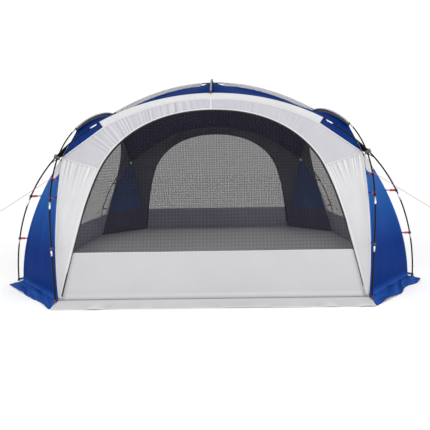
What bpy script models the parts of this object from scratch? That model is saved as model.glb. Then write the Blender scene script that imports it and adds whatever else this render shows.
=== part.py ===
"""Party tent: a square dome shelter on four arch poles and two roof poles.

X is right, Y is back, Z is up, in metres. The origin is the middle of the floor, at ground level.
The front, back, left and right sides are alike, so each side is worked out once, in the front
side's place, and then turned or mirrored to where it stands. The four corners are worked out once
in the front left corner's place.
"""

import math

import bmesh
import bpy
import numpy as np
from mathutils import Matrix

# Driving dimensions of the fabric
TENT_HALF = 1.800  # from the centre to the foot of a wall
WALL_HALF = 1.228  # half the length of one wall along the ground
HUB_CORNER_HEIGHT = 1.140  # where the roof, the walls and a corner panel meet
EDGE_LEAN = 0.080  # how a leg edge draws in: this times the height,
EDGE_BOW = 0.300  # and this times the height squared
WALL_LEAN = 0.370  # the door's plane draws in by this much for each metre of height
FABRIC = 0.0012  # thickness of every sheet
FRONT_SKIRT = 0.215  # width of the flap that lies on the ground before the front and back
SIDE_SKIRT = 0.060  # the same flap on the left and right, mostly tucked under
CORNER_FLAP_FRONT = (-1.216, -2.012)  # the two outer points of a corner's flap
CORNER_FLAP_SIDE = (-1.850, -1.370)

# The door's zip, in the door's plane
ZIP_FOOT = 1.206  # out from the middle, at the ground
ZIP_LEAN = 0.175  # how a leg of the zip draws in: this times the height,
ZIP_BOW = 0.0625  # and this times the fourth power of the height
ZIP_SHOULDER = 1.032  # height where a leg ends and the crown starts
ZIP_CROWN = 1.530
ZIP_PULLS = (0.200, 0.611)  # handle lengths of the crown's curve at the shoulder and at the top
SLEEVE_END = 0.30  # the part of the crown's curve that lies outside the sleeve

# Driving dimensions of the frame
POLE = 0.0125  # diameter of every pole
POLE_FOOT_OUT = 1.840  # an arch pole's foot, out from its arch's middle
POLE_FOOT_DEPTH = 1.235  # and out from the tent's middle
FOOT_RISE = 0.00026  # from the floor to the middle of a foot's slanted end
ARCH_TOP_DEPTH = 1.190
ARCH_RISE = 1.680
HUB_ANGLE = math.radians(42.7)  # where two arch poles cross, as an angle of the ellipse
HUB_STEP = 0.0078  # each of the two poles passes the crossing this far to one side
APEX_HEIGHT = 2.022  # centre of the upper roof pole where the two cross
ROOF_POLE_OVERHANG = 0.030

# Sleeves, fittings and guy lines
SLEEVE_DROP = 0.043  # from a pole down to the seam that its sleeve is sewn into
HEM_RADIUS = 0.0078  # middle of the sleeve's cloth, from the pole's centre
HEM_ANGLES = [math.radians(a) for a in (82, 122, 162, 202, 242, 282, 318)]
APEX_DROP = 0.020  # from the lower roof pole down to the roof's top
APEX_BARE = 0.125  # half the length of roof pole that shows at the top
HUB_KNOB = (0.0175, 0.050)  # radius and length
APEX_KNOB = (0.0150, 0.044)
APEX_STEM = 0.0050
CLIP_HEIGHTS = (0.410, 0.800, 0.955)
CLIP_RING = (0.0115, 0.020)  # radius and length
CLIP_BAR = (0.010, 0.004)  # width along the pole, and thickness
TAPE_WIDTH = 0.016
TAPE_RISE = 0.0018  # from the middle of the panel's cloth to the middle of the tape's
TAPE_START = 0.385  # height of the tape's lower end
PATCH_START = 1.005  # height where the white patch starts at the panel's edges
PATCH_DIP = 0.058  # how far its middle reaches lower
PATCH_TOP = 0.035  # how far the patch ends below the hub corner
PANEL_TOP = 0.030  # and the panel
GUY = 0.0040
GUY_REACH = 1.550  # from the clip to the peg, along the ground
PEG = 0.0070
PEG_LENGTH = 0.085
PEG_LEAN = 0.25  # how far a peg leans away from the tent, each way, for its height

GAP = 0.0003  # between touching pieces
SEAM = 0.0004  # how far a sheet's edge stays back from its seam
FOLD_SEAM = 0.0006  # and along a leg edge, where two sheets meet at an angle
CORNER_PULL = 0.012  # how far a sheet's corner stays back from the hub corner

# Steps
ARCH_STEPS = 48
SLEEVE_STEPS = 8  # of those, from the top of an arch to the end of its sleeve
CORNER_STEPS = 3  # from the end of a sleeve to the hub corner
WALL_ROWS = 9
TUBE_SIDES = 8

SIDES = {
    "front": lambda p: (p[0], p[1], p[2]),
    "back": lambda p: (p[0], -p[1], p[2]),
    "left": lambda p: (p[1], p[0], p[2]),
    "right": lambda p: (-p[1], p[0], p[2]),
}
CORNERS = {
    "front_left": (1, 1),
    "front_right": (-1, 1),
    "back_left": (1, -1),
    "back_right": (-1, -1),
}
LEGS = {"front": -1, "side": 1}  # a corner's two legs, and on which side of the hub each arch passes
CLIPS_ON = {"front": CLIP_HEIGHTS, "side": CLIP_HEIGHTS[:2]}
TO_LEFT = [1, 0, 2]  # swaps a point's X and Y: from its place at the front to the same on the left
COLOURS = {
    "white cloth": ((0.70, 0.70, 0.74), 0.75, 0.0),
    "blue cloth": ((0.012, 0.045, 0.24), 0.70, 0.0),
    "roof cloth": ((0.008, 0.022, 0.13), 0.70, 0.0),
    "door net": ((0.16, 0.16, 0.17), 0.85, 0.0),
    "pole black": ((0.012, 0.012, 0.013), 0.35, 0.0),
    "knob grey": ((0.30, 0.31, 0.33), 0.45, 0.0),
    "clip red": ((0.55, 0.015, 0.03), 0.40, 0.0),
    "guy red": ((0.60, 0.16, 0.20), 0.80, 0.0),
    "peg steel": ((0.55, 0.56, 0.58), 0.30, 1.0),
}


def vec(*values):
    return np.array(values, float)


def unit(v):
    return v / np.linalg.norm(v)


def lerp(a, b, t):
    return a * (1 - t) + b * t


# The collections, materials and object helpers


def clear_scene():
    for obj in list(bpy.data.objects):
        bpy.data.objects.remove(obj, do_unlink=True)


def new_collection(name):
    collection = bpy.data.collections.new(name)
    bpy.context.scene.collection.children.link(collection)
    return collection


def material(obj, kind):
    colour, roughness, metallic = COLOURS[kind]
    made = bpy.data.materials.new(f"{obj.name} {kind}")
    made.use_nodes = True
    shader = made.node_tree.nodes["Principled BSDF"]
    shader.inputs["Base Color"].default_value = (*colour, 1.0)
    shader.inputs["Roughness"].default_value = roughness
    shader.inputs["Metallic"].default_value = metallic
    made.diffuse_color = (*colour, 1.0)
    obj.data.materials.clear()
    obj.data.materials.append(made)


def link(name, data, collection):
    obj = bpy.data.objects.new(name, data)
    collection.objects.link(obj)
    return obj


def grid_mesh(name, grids):
    """One open mesh from grids of points. Points of neighbouring grids that coincide are welded."""
    mesh = bpy.data.meshes.new(name)
    bm = bmesh.new()
    for grid in grids:
        rows = [[None if p is None else bm.verts.new(p) for p in row] for row in grid]
        for below, above in zip(rows, rows[1:]):
            for a, b, c, d in zip(below, below[1:], above[1:], above):
                if None not in (a, b, c, d):
                    bm.faces.new((a, b, c, d))
    loose = [v for v in bm.verts if not v.link_faces]
    bmesh.ops.delete(bm, geom=loose, context="VERTS")
    bmesh.ops.remove_doubles(bm, verts=bm.verts, dist=0.00005)
    bmesh.ops.recalc_face_normals(bm, faces=bm.faces)
    bm.to_mesh(mesh)
    bm.free()
    return mesh


def sheet(name, kind, grids):
    """A sheet of cloth: a lofted surface given its thickness, half to each side."""
    obj = link(name, grid_mesh(name, grids), PARTS)
    solidify = obj.modifiers.new("thickness", "SOLIDIFY")
    solidify.thickness = FABRIC
    solidify.offset = 0
    solidify.use_even_offset = True
    solidify.use_quality_normals = True
    material(obj, kind)
    return obj


def tube_curve(name, points, radius, collection):
    """A round bar along a run of points, with its ends closed."""
    data = bpy.data.curves.new(name, "CURVE")
    data.dimensions = "3D"
    data.bevel_depth = radius
    data.bevel_resolution = (TUBE_SIDES - 4) // 2
    data.use_fill_caps = True
    spline = data.splines.new("POLY")
    spline.points.add(len(points) - 1)
    for point, place in zip(spline.points, points):
        point.co = (*place, 1.0)
    return link(name, data, collection)


def tube(name, kind, points, radius):
    obj = tube_curve(name, points, radius, PARTS)
    material(obj, kind)
    return obj


def evaluated_mesh(obj):
    bpy.context.view_layer.update()
    graph = bpy.context.evaluated_depsgraph_get()
    return bpy.data.meshes.new_from_object(obj.evaluated_get(graph))


def as_mesh(obj, collection):
    """The object made a plain mesh in its place, with its caps welded."""
    mesh = evaluated_mesh(obj)
    bm = bmesh.new()
    bm.from_mesh(mesh)
    bmesh.ops.remove_doubles(bm, verts=bm.verts, dist=0.00002)
    bm.to_mesh(mesh)
    bm.free()
    name = obj.name
    place = obj.matrix_world.copy()
    bpy.data.objects.remove(obj, do_unlink=True)
    mesh.name = name
    made = link(name, mesh, collection)
    made.matrix_world = place
    return made


def cutter(obj):
    obj.hide_render = True
    obj.display_type = "WIRE"
    return obj


def boolean(obj, other, operation):
    modifier = obj.modifiers.new(operation.lower(), "BOOLEAN")
    modifier.operation = operation
    modifier.object = other
    modifier.solver = "EXACT"


def bar(name, start, end, radius, sides, collection):
    """A straight round bar from start to end, made from a cone primitive."""
    axis = vec(*end) - vec(*start)
    bm = bmesh.new()
    bmesh.ops.create_cone(
        bm,
        cap_ends=True,
        cap_tris=False,
        segments=sides,
        radius1=radius,
        radius2=radius,
        depth=float(np.linalg.norm(axis)),
    )
    mesh = bpy.data.meshes.new(name)
    bm.to_mesh(mesh)
    bm.free()
    obj = link(name, mesh, collection)
    turn_to(obj, axis, (vec(*start) + vec(*end)) / 2)
    return obj


def turn_to(obj, axis, place, across=None):
    """Turns the object so that its Z lies along axis and its X as near as it can to across."""
    z = unit(axis)
    side = vec(0, 0, 1) if across is None else across
    if abs(z @ unit(side)) > 0.99:
        side = vec(1, 0, 0)
    x = unit(side - (side @ z) * z)
    y = np.cross(z, x)
    columns = [x, y, z, place]
    rows = [[float(column[i]) for column in columns] for i in range(3)]
    obj.matrix_world = Matrix([*rows, [0, 0, 0, 1]])


def block(name, size, axis, place, across, collection):
    """A box with its Z along axis and its X towards across."""
    bm = bmesh.new()
    bmesh.ops.create_cube(bm, size=1.0)
    bmesh.ops.scale(bm, vec=size, verts=bm.verts)
    mesh = bpy.data.meshes.new(name)
    bm.to_mesh(mesh)
    bm.free()
    obj = link(name, mesh, collection)
    turn_to(obj, axis, place, across)
    return obj


# The frame's lines


def bulge():
    """How far an arch bows outwards at its hubs, so that two arches cross at the hub angle."""
    out = POLE_FOOT_OUT * math.cos(HUB_ANGLE)
    straight = lerp(ARCH_TOP_DEPTH, POLE_FOOT_DEPTH, math.cos(HUB_ANGLE) ** 2)
    return (out - straight) / math.sin(2 * HUB_ANGLE) ** 2


def arch_base(angle):
    """A point of the front arch's half ellipse. The angle runs from the left foot to the right."""
    depth = lerp(ARCH_TOP_DEPTH, POLE_FOOT_DEPTH, math.cos(angle) ** 2)
    depth += bulge() * math.sin(2 * angle) ** 2
    return vec(-POLE_FOOT_OUT * math.cos(angle), -depth, ARCH_RISE * math.sin(angle))


def hub_normal():
    """The way out from the front left hub, square to both poles that cross there."""
    step = 0.001
    along = arch_base(HUB_ANGLE + step) - arch_base(HUB_ANGLE - step)
    normal = np.cross(along, along[TO_LEFT])
    return unit(normal if normal[2] > 0 else -normal)


def arch_point(angle, lift):
    """A point of an arch pole's line. The lift is 1 for a hub's outer pole and -1 for its inner."""
    point = arch_base(angle)
    normal = hub_normal()
    if angle > math.pi / 2:
        normal = normal * vec(-1, 1, 1)
    return point + lift * HUB_STEP * math.sin(2 * angle) ** 4 * normal


def side_lift(side):
    return 1 if side in ("front", "back") else -1


def arch_line(lift):
    """An arch pole's line from foot to foot. The feet are raised so that their slanted ends meet the floor."""
    line = [arch_point(math.pi * k / ARCH_STEPS, lift) for k in range(ARCH_STEPS + 1)]
    for k in (0, -1):
        line[k] = line[k] + vec(0, 0, FOOT_RISE)
    return line


def leg_point(height, lift):
    """The leg of the left arch that stands at the front left, at this height."""
    low, high = 0.0, HUB_ANGLE
    for _ in range(40):
        middle = (low + high) / 2
        if arch_point(middle, lift)[2] < height:
            low = middle
        else:
            high = middle
    point = arch_point(low, lift)
    ahead = arch_point(low + 0.01, lift)
    return point[TO_LEFT], unit((ahead - point)[TO_LEFT])


def roof_pole_height(out, top):
    """Height of a roof pole's centre, which falls as the square of the way out to the arch's sleeve."""
    rest = HEM_RADIUS + FABRIC / 2 + POLE / 2 + GAP
    fall = top - ARCH_RISE
    slope = math.atan(2 * fall / ARCH_TOP_DEPTH)
    end = ARCH_RISE + rest / math.cos(slope)
    return top - (top - end) * (out / ARCH_TOP_DEPTH) ** 2


def lower_apex():
    return APEX_HEIGHT - POLE - 2 * GAP


# The fabric's seams, in the front's place


def in_door_plane(out, height):
    return vec(out, -TENT_HALF + WALL_LEAN * height, height)


def leg_edge(height):
    """Left edge of the front wall, from the ground to the hub corner."""
    out = TENT_HALF - EDGE_LEAN * height - EDGE_BOW * height**2
    top = TENT_HALF - EDGE_LEAN * HUB_CORNER_HEIGHT - EDGE_BOW * HUB_CORNER_HEIGHT**2
    along = lerp(WALL_HALF, top, height / HUB_CORNER_HEIGHT)
    return vec(-along, -out, height)


def hub_corner():
    return leg_edge(HUB_CORNER_HEIGHT)


def edge_heights():
    """Heights of the rows that the wall and the corner panel share, from the cloth on the floor."""
    return [lerp(FABRIC / 2, HUB_CORNER_HEIGHT, k / WALL_ROWS) for k in range(WALL_ROWS + 1)]


def facet_edge(height):
    """The leg edge as the rows make it, with straight runs between them."""
    heights = edge_heights()
    points = np.array([leg_edge(h) for h in heights])
    return np.array([np.interp(height, heights, points[:, axis]) for axis in range(3)])


def zip_leg(t):
    """Left leg of the door's zip, from the ground to the shoulder."""
    height = ZIP_SHOULDER * t
    return in_door_plane(-(ZIP_FOOT - ZIP_LEAN * height - ZIP_BOW * height**4), height)


def zip_crown(t):
    """Left half of the zip's crown, from the shoulder to the top: a cubic curve."""
    slope = unit(vec(-ZIP_LEAN - 4 * ZIP_BOW * ZIP_SHOULDER**3, 1))
    a = vec(-zip_leg(1)[0], ZIP_SHOULDER)
    d = vec(0, ZIP_CROWN)
    b = a + slope * ZIP_PULLS[0]
    c = d + vec(ZIP_PULLS[1], 0)
    p = (1 - t) ** 3 * a + 3 * (1 - t) ** 2 * t * b + 3 * (1 - t) * t**2 * c + t**3 * d
    return in_door_plane(-p[0], p[1])


def crown_values():
    """Steps along the zip's left crown, from the shoulder to the top."""
    outer = [SLEEVE_END * k / CORNER_STEPS for k in range(CORNER_STEPS)]
    inner = [lerp(SLEEVE_END, 1.0, k / SLEEVE_STEPS) for k in range(SLEEVE_STEPS + 1)]
    return outer + inner


def sleeve_angles():
    first = ARCH_STEPS // 2 - SLEEVE_STEPS
    return [math.pi * (first + k) / ARCH_STEPS for k in range(SLEEVE_STEPS + 1)]


def sleeve_seam():
    """Left half of the seam under the arch's sleeve, where the roof meets the brow."""
    seam = []
    for angle, t in zip(sleeve_angles(), crown_values()[CORNER_STEPS:]):
        pole = arch_base(angle)
        seam.append(pole + SLEEVE_DROP * unit(zip_crown(t) - pole))
    return seam


def roof_seam():
    """Left half of the roof's front seam: from the hub corner to the sleeve, then below it to the top."""
    sleeve = sleeve_seam()
    straight = [lerp(hub_corner(), sleeve[0], k / CORNER_STEPS) for k in range(CORNER_STEPS)]
    return straight + sleeve


def mirrored(points):
    """A left half made whole: the last point lies on the middle plane."""
    return list(points) + [p * vec(-1, 1, 1) for p in reversed(points[:-1])]


def back_from(grid, edges, distance):
    """Moves the named edges of a grid of points inwards by this distance, or by one for each point."""
    moved = [[p.copy() for p in row] for row in grid]
    rows, columns = len(grid), len(grid[0])
    for edge in edges:
        for k in range(columns if edge in ("first", "last") else rows):
            i, j = {"first": (0, k), "last": (-1, k), "left": (k, 0), "right": (k, -1)}[edge]
            ni = {"first": 1, "last": -2}.get(edge, i)
            nj = {"left": 1, "right": -2}.get(edge, j)
            step = distance[k] if isinstance(distance, list) else distance
            moved[i][j] += step * unit(grid[ni][nj] - grid[i][j])
    return moved


def clearance(direction, other):
    """How far a sheet's edge stays back along direction from one that leaves the same seam along other."""
    angle = math.acos(float(np.clip(unit(direction) @ unit(other), -1, 1)))
    return FABRIC / 2 / math.tan(angle / 2) + GAP / math.sin(angle)


def butt_clearance(direction, other):
    """The same for two sheets that leave a seam to its two sides and meet there edge to edge."""
    angle = math.acos(float(np.clip(unit(direction) @ unit(other), -1, 1)))
    return FABRIC / 2 / math.tan(angle / 2) + GAP / 2 / math.sin(angle / 2)


def stretched(grid):
    """A grid whose inner points lie level among their neighbours, as taut cloth does between its seams."""
    points = np.array(grid)
    for _ in range(400):
        around = points[:-2, 1:-1] + points[2:, 1:-1] + points[1:-1, :-2] + points[1:-1, 2:]
        points[1:-1, 1:-1] = around / 4
    return [list(row) for row in points]


def pull_corner(grid, i, j, ni, nj, distance):
    grid[i][j] = grid[i][j] + distance * unit(grid[ni][nj] - grid[i][j])


def loft(first, last, steps):
    """Rows of points from one line to the other."""
    return [[lerp(a, b, k / steps) for a, b in zip(first, last)] for k in range(steps + 1)]


def placed(grid, where):
    return [[None if p is None else where(p) for p in row] for row in grid]


# The pieces


def ridge_stations():
    """Steps out from the top along a ridge. The last is the seam under the arch's sleeve."""
    steps = SLEEVE_STEPS + CORNER_STEPS
    end = -sleeve_seam()[-1][1]
    return [end * k / steps for k in range(steps + 1)]


def roof_pole_stations():
    """The same steps for a roof pole, which crosses an arch and then ends."""
    return ridge_stations()[:-1] + [ARCH_TOP_DEPTH, ARCH_TOP_DEPTH + ROOF_POLE_OVERHANG]


def build_poles():
    for side, where in SIDES.items():
        line = [where(p) for p in arch_line(side_lift(side))]
        tube(f"arch_pole_{side}", "pole black", line, POLE / 2)
    outs = roof_pole_stations()
    steps = [-out for out in reversed(outs[1:])] + outs
    across = [(x, 0, roof_pole_height(abs(x), APEX_HEIGHT)) for x in steps]
    along = [(0, y, roof_pole_height(abs(y), lower_apex())) for y in steps]
    tube("roof_pole_left_right", "pole black", across, POLE / 2)
    tube("roof_pole_front_back", "pole black", along, POLE / 2)


def pole_cutter(name, points):
    """The room that a knob or a ring leaves for a pole. Its flat sides clear the pole's corners."""
    radius = (POLE / 2 + GAP) / math.cos(math.pi / TUBE_SIDES)
    curve = tube_curve(name, points, radius, CUTTERS)
    return cutter(as_mesh(curve, CUTTERS))


def build_hubs():
    """A knob at each crossing of two arch poles, with a bore for each pole."""
    radius, length = HUB_KNOB
    near = round(HUB_ANGLE / math.pi * ARCH_STEPS)
    for corner, (sx, sy) in CORNERS.items():
        flip = vec(sx, sy, 1)
        centre = arch_base(HUB_ANGLE) * flip
        normal = hub_normal() * flip
        name = f"hub_{corner}"
        reach = normal * length / 2
        knob = bar(name, centre - reach, centre + reach, radius, 16, PARTS)
        outer = [p * flip for p in arch_line(1)[near - 3 : near + 4]]
        inner = [p[TO_LEFT] * flip for p in arch_line(-1)[near - 3 : near + 4]]
        boolean(knob, pole_cutter(f"{name}_outer_bore", outer), "DIFFERENCE")
        boolean(knob, pole_cutter(f"{name}_inner_bore", inner), "DIFFERENCE")
        material(knob, "knob grey")


def build_apex():
    """The knob where the roof poles cross, and the stem that holds the roof up to it."""
    radius, length = APEX_KNOB
    middle = (APEX_HEIGHT + lower_apex()) / 2
    low = vec(0, 0, middle - length / 2)
    high = vec(0, 0, middle + length / 2)
    stem_foot = vec(0, 0, roof_apex() + FABRIC / 2 + GAP)
    knob = bar("apex_knob", low, high, radius, 16, PARTS)
    stem = bar("apex_stem", stem_foot, lerp(low, high, 0.25), APEX_STEM, 10, CUTTERS)
    boolean(knob, cutter(stem), "UNION")
    ways = [-2 * radius, 0, 2 * radius]
    over = [(x, 0, roof_pole_height(abs(x), APEX_HEIGHT)) for x in ways]
    under = [(0, y, roof_pole_height(abs(y), lower_apex())) for y in ways]
    boolean(knob, pole_cutter("apex_upper_bore", over), "DIFFERENCE")
    boolean(knob, pole_cutter("apex_lower_bore", under), "DIFFERENCE")
    material(knob, "knob grey")


def hem_profile(centre, down, along, seam):
    """A sleeve's cloth across its pole: up from the seam, then round the pole and back down inside."""
    outward = np.cross(along, down)
    turn = [centre + HEM_RADIUS * (math.cos(a) * down + math.sin(a) * outward) for a in HEM_ANGLES]
    return [seam + SEAM * unit(turn[0] - seam)] + turn


def build_arch_sleeves():
    for side, where in SIDES.items():
        lift = side_lift(side)
        seam = mirrored(sleeve_seam())
        angles = sleeve_angles()
        angles = angles + [math.pi - a for a in reversed(angles[:-1])]
        rows = []
        for angle, edge in zip(angles, seam):
            centre = arch_point(angle, lift)
            along = unit(arch_point(angle + 0.01, lift) - arch_point(angle - 0.01, lift))
            down = edge - centre
            down = unit(down - (down @ along) * along)
            rows.append(hem_profile(centre, down, along, edge))
        sheet(f"arch_sleeve_{side}", "white cloth", [placed(rows, where)])


def roof_apex():
    return lower_apex() - APEX_DROP


def ridge_height(out):
    """Height of the roof's ridge seam under a roof pole."""
    end = sleeve_seam()[-1]
    return roof_apex() - (roof_apex() - end[2]) * (out / -end[1]) ** 2


def build_ridge_sleeves():
    """A sleeve on each half of a roof pole, from near the top to the arch."""
    end = ARCH_TOP_DEPTH - 2.5 * HEM_RADIUS
    knots = roof_pole_stations()
    ridge = ridge_stations()
    outs = [APEX_BARE] + [y for y in knots if APEX_BARE < y < end] + [end]
    edges = np.interp(outs, ridge, [ridge_height(y) for y in ridge]) + FABRIC
    for side, where in SIDES.items():
        top = lower_apex() if side in ("front", "back") else APEX_HEIGHT
        heights = np.interp(outs, knots, [roof_pole_height(y, top) for y in knots])
        rows = []
        for out, height, edge in zip(outs, heights, edges):
            along = unit(vec(0, -1, -2 * (top - ARCH_RISE) * out / ARCH_TOP_DEPTH**2))
            down = unit(np.cross(vec(1, 0, 0), along))
            down = down if down[2] < 0 else -down
            rows.append(hem_profile(vec(0, -out, height), down, along, vec(0, -out, edge)))
        sheet(f"ridge_sleeve_{side}", "white cloth", [placed(rows, where)])


def build_roof():
    """Four gores, each stretched between two ridges and two seams."""
    seam = roof_seam()
    steps = len(seam) - 1
    to_hub = seam[::-1]
    ridge = [vec(0, -out, ridge_height(out)) for out in ridge_stations()]
    for corner, (sx, sy) in CORNERS.items():
        flip = vec(sx, sy, 1)
        grid = []
        for i in range(steps + 1):
            u = i / steps
            row = []
            for j in range(steps + 1):
                v = j / steps
                along_x = lerp(ridge[i][TO_LEFT], to_hub[i], v)
                along_y = lerp(ridge[j], to_hub[j][TO_LEFT], u)
                flat = lerp(lerp(ridge[0], to_hub[0], v), lerp(to_hub[0][TO_LEFT], to_hub[-1], v), u)
                row.append(along_x + along_y - flat)
            grid.append(row)
        grid = stretched(grid)
        front_ridge, left_ridge, back = [], [], []
        for k in range(steps + 1):
            inner = grid[1][k] - grid[0][k]
            front_ridge.append(butt_clearance(inner, inner * vec(-1, 1, 1)))
            inner = grid[k][1] - grid[k][0]
            left_ridge.append(butt_clearance(inner, inner * vec(1, -1, 1)))
            inner = grid[k][-2] - grid[k][-1]
            angle = sleeve_angles()[max(SLEEVE_STEPS - k, 0)]
            webs = [arch_point(angle, lift) - to_hub[min(k, SLEEVE_STEPS)] for lift in (-1, 1)]
            most = max(clearance(inner, web) for web in webs) + GAP
            back.append(most if k <= SLEEVE_STEPS else FABRIC)
        grid = back_from(grid, ["first"], front_ridge)
        grid = back_from(grid, ["left"], left_ridge)
        grid = back_from(grid, ["last", "right"], back)
        pull_corner(grid, -1, -1, -2, -2, CORNER_PULL)
        sheet(f"roof_gore_{corner}", "roof cloth", [placed(grid, lambda p, f=flip: p * f)])


def build_brows():
    """The white band of each side between the zip and the roof."""
    lower = mirrored([zip_crown(t) for t in crown_values()])
    upper = mirrored(roof_seam())
    grid = back_from(loft(lower, upper, 3), ["first", "last", "left", "right"], SEAM)
    pull_corner(grid, -1, 0, -2, 1, CORNER_PULL)
    pull_corner(grid, -1, -1, -2, -2, CORNER_PULL)
    for side, where in SIDES.items():
        sheet(f"brow_{side}", "white cloth", [placed(grid, where)])


def skirt_width(side):
    return FRONT_SKIRT if side in ("front", "back") else SIDE_SKIRT


def build_walls():
    """Each wall's two white side panels, joined along the ground by the flap that lies on the floor."""
    floor = FABRIC / 2
    for side, where in SIDES.items():
        edge = [leg_edge(height) for height in edge_heights()]
        start = floor / ZIP_SHOULDER
        leg = [zip_leg(lerp(start, 1.0, k / WALL_ROWS)) for k in range(WALL_ROWS + 1)]
        across = loft(edge, leg, 3)
        panel = [[across[j][k] for j in range(4)] for k in range(WALL_ROWS + 1)]
        panel = back_from(panel, ["last", "right"], SEAM)
        panel = back_from(panel, ["left"], FOLD_SEAM)
        pull_corner(panel, -1, 0, -2, 1, CORNER_PULL)
        other = [[p * vec(-1, 1, 1) for p in reversed(row)] for row in panel]
        threshold = [lerp(panel[0][-1], other[0][0], k / 6) for k in range(1, 6)]
        foot = panel[0] + threshold + other[0]
        width = skirt_width(side)
        hem = [vec(p[0] * 0.975, -TENT_HALF - width, floor) for p in foot]
        skirt = loft(hem, foot, 2)
        grids = [placed(g, where) for g in (skirt, panel, other)]
        sheet(f"wall_{side}", "white cloth", grids)


def build_doors():
    """Each side's zipped door: one flat panel inside the zip, down to the ground."""
    clear = FABRIC + 2 * SEAM
    start = clear / ZIP_SHOULDER
    left = [zip_leg(lerp(start, 1.0, k / WALL_ROWS)) for k in range(WALL_ROWS)]
    left += [zip_crown(t) for t in crown_values()]
    crown = left.pop()
    grid = [[lerp(p, p * vec(-1, 1, 1), j / 6) for j in range(7)] for p in left]
    grid[-1] = mirrored([lerp(left[-1], crown, j / 3) for j in range(4)])
    grid = back_from(grid, ["left", "right", "last"], SEAM)
    for side, where in SIDES.items():
        sheet(f"door_{side}", "door net", [placed(grid, where)])


def panel_point(height, across):
    """A point of the corner panel, from the front wall's edge at 0 to the left wall's edge at 1."""
    edge = facet_edge(height)
    return lerp(edge, edge[TO_LEFT], across)


def build_corners():
    """The blue panel of each corner, with its flap on the ground notched round the two feet."""
    front, side = (vec(*point, FABRIC / 2) for point in (CORNER_FLAP_FRONT, CORNER_FLAP_SIDE))
    foot = vec(-POLE_FOOT_DEPTH, -POLE_FOOT_OUT, 0)
    feet = {"front": foot, "side": foot[TO_LEFT]}
    depth = vec(0, 0, 0.02)
    for corner, (sx, sy) in CORNERS.items():
        flip = vec(sx, sy, 1)
        heights = edge_heights()[:-1] + [HUB_CORNER_HEIGHT - PANEL_TOP]
        panel = [[panel_point(height, j / 4) for j in range(5)] for height in heights]
        panel = back_from(panel, ["left", "right"], FOLD_SEAM)
        flap = loft([lerp(front, side, j / 4) for j in range(5)], panel[0], 2)
        name = f"corner_{corner}"
        grids = [placed(g, lambda p, f=flip: p * f) for g in (flap, panel)]
        obj = sheet(name, "blue cloth", grids)
        for leg, foot in feet.items():
            notch = bar(f"{name}_{leg}_notch", foot * flip - depth, foot * flip + depth, POLE, 12, CUTTERS)
            boolean(obj, cutter(notch), "DIFFERENCE")


def clip_parts(name, height, leg, flip):
    """A clip: a ring round the leg, and a bar from it to the tape on the panel's edge."""
    centre, along = leg_point(height, LEGS[leg])
    inward = unit(vec(-1, 1, 0))
    anchor = facet_edge(height) + TAPE_WIDTH / 2 * inward
    if leg == "side":
        centre, along, anchor = centre[TO_LEFT], along[TO_LEFT], anchor[TO_LEFT]
    anchor = anchor + panel_normal() * (TAPE_RISE + CLIP_BAR[1] / 2)
    centre, along, anchor = centre * flip, along * flip, anchor * flip
    radius, length = CLIP_RING
    reach = along * length / 2
    ring = bar(f"{name}_ring", centre - reach, centre + reach, radius, 12, CUTTERS)
    start = centre + unit(anchor - centre) * (radius + POLE / 2) / 2
    arm = block(
        f"{name}_bar",
        (CLIP_BAR[0], CLIP_BAR[1], float(np.linalg.norm(anchor - start))),
        anchor - start,
        (anchor + start) / 2,
        along,
        CUTTERS,
    )
    return [cutter(ring), cutter(arm)]


def panel_normal():
    """The way out from the corner panel's upper part."""
    rise = panel_point(CLIP_HEIGHTS[-1], 0.5) - panel_point(CLIP_HEIGHTS[0], 0.5)
    return unit(np.cross(vec(1, -1, 0), rise))


def build_clip_tapes():
    """Each corner's white patch under the hub, the tapes down both edges, and the red clips on the legs."""
    normal = panel_normal()
    tape = [TAPE_START] + [h for h in edge_heights() if TAPE_START < h < PATCH_START]
    top = HUB_CORNER_HEIGHT - PATCH_TOP
    patch = [PATCH_START] + [h for h in edge_heights() if PATCH_START < h < top] + [top]
    for corner, (sx, sy) in CORNERS.items():
        flip = vec(sx, sy, 1)
        grid = []
        for height in tape + patch:
            width = np.linalg.norm(panel_point(height, 0) - panel_point(height, 1))
            share = min(TAPE_WIDTH / width, 0.4)
            places = [0, share, 0.5, 1 - share, 1]
            row = [panel_point(height, w) + normal * TAPE_RISE for w in places]
            if height < PATCH_START:
                row[2] = None
            elif height == PATCH_START:
                row[2] = panel_point(height - PATCH_DIP, 0.5) + normal * TAPE_RISE
            grid.append(row)
        name = f"clip_tape_{corner}"
        obj = sheet(name, "clip red", [placed(grid, lambda p, f=flip: p * f)])
        for leg in LEGS:
            for k, height in enumerate(CLIPS_ON[leg]):
                for piece in clip_parts(f"{name}_{leg}_{k}", height, leg, flip):
                    boolean(obj, piece, "UNION")
        for leg, lift in LEGS.items():
            line = arch_line(lift)[: ARCH_STEPS // 4 + 1]
            line = [(p[TO_LEFT] if leg == "front" else p) * flip for p in line]
            boolean(obj, pole_cutter(f"{name}_{leg}_bore", line), "DIFFERENCE")


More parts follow.
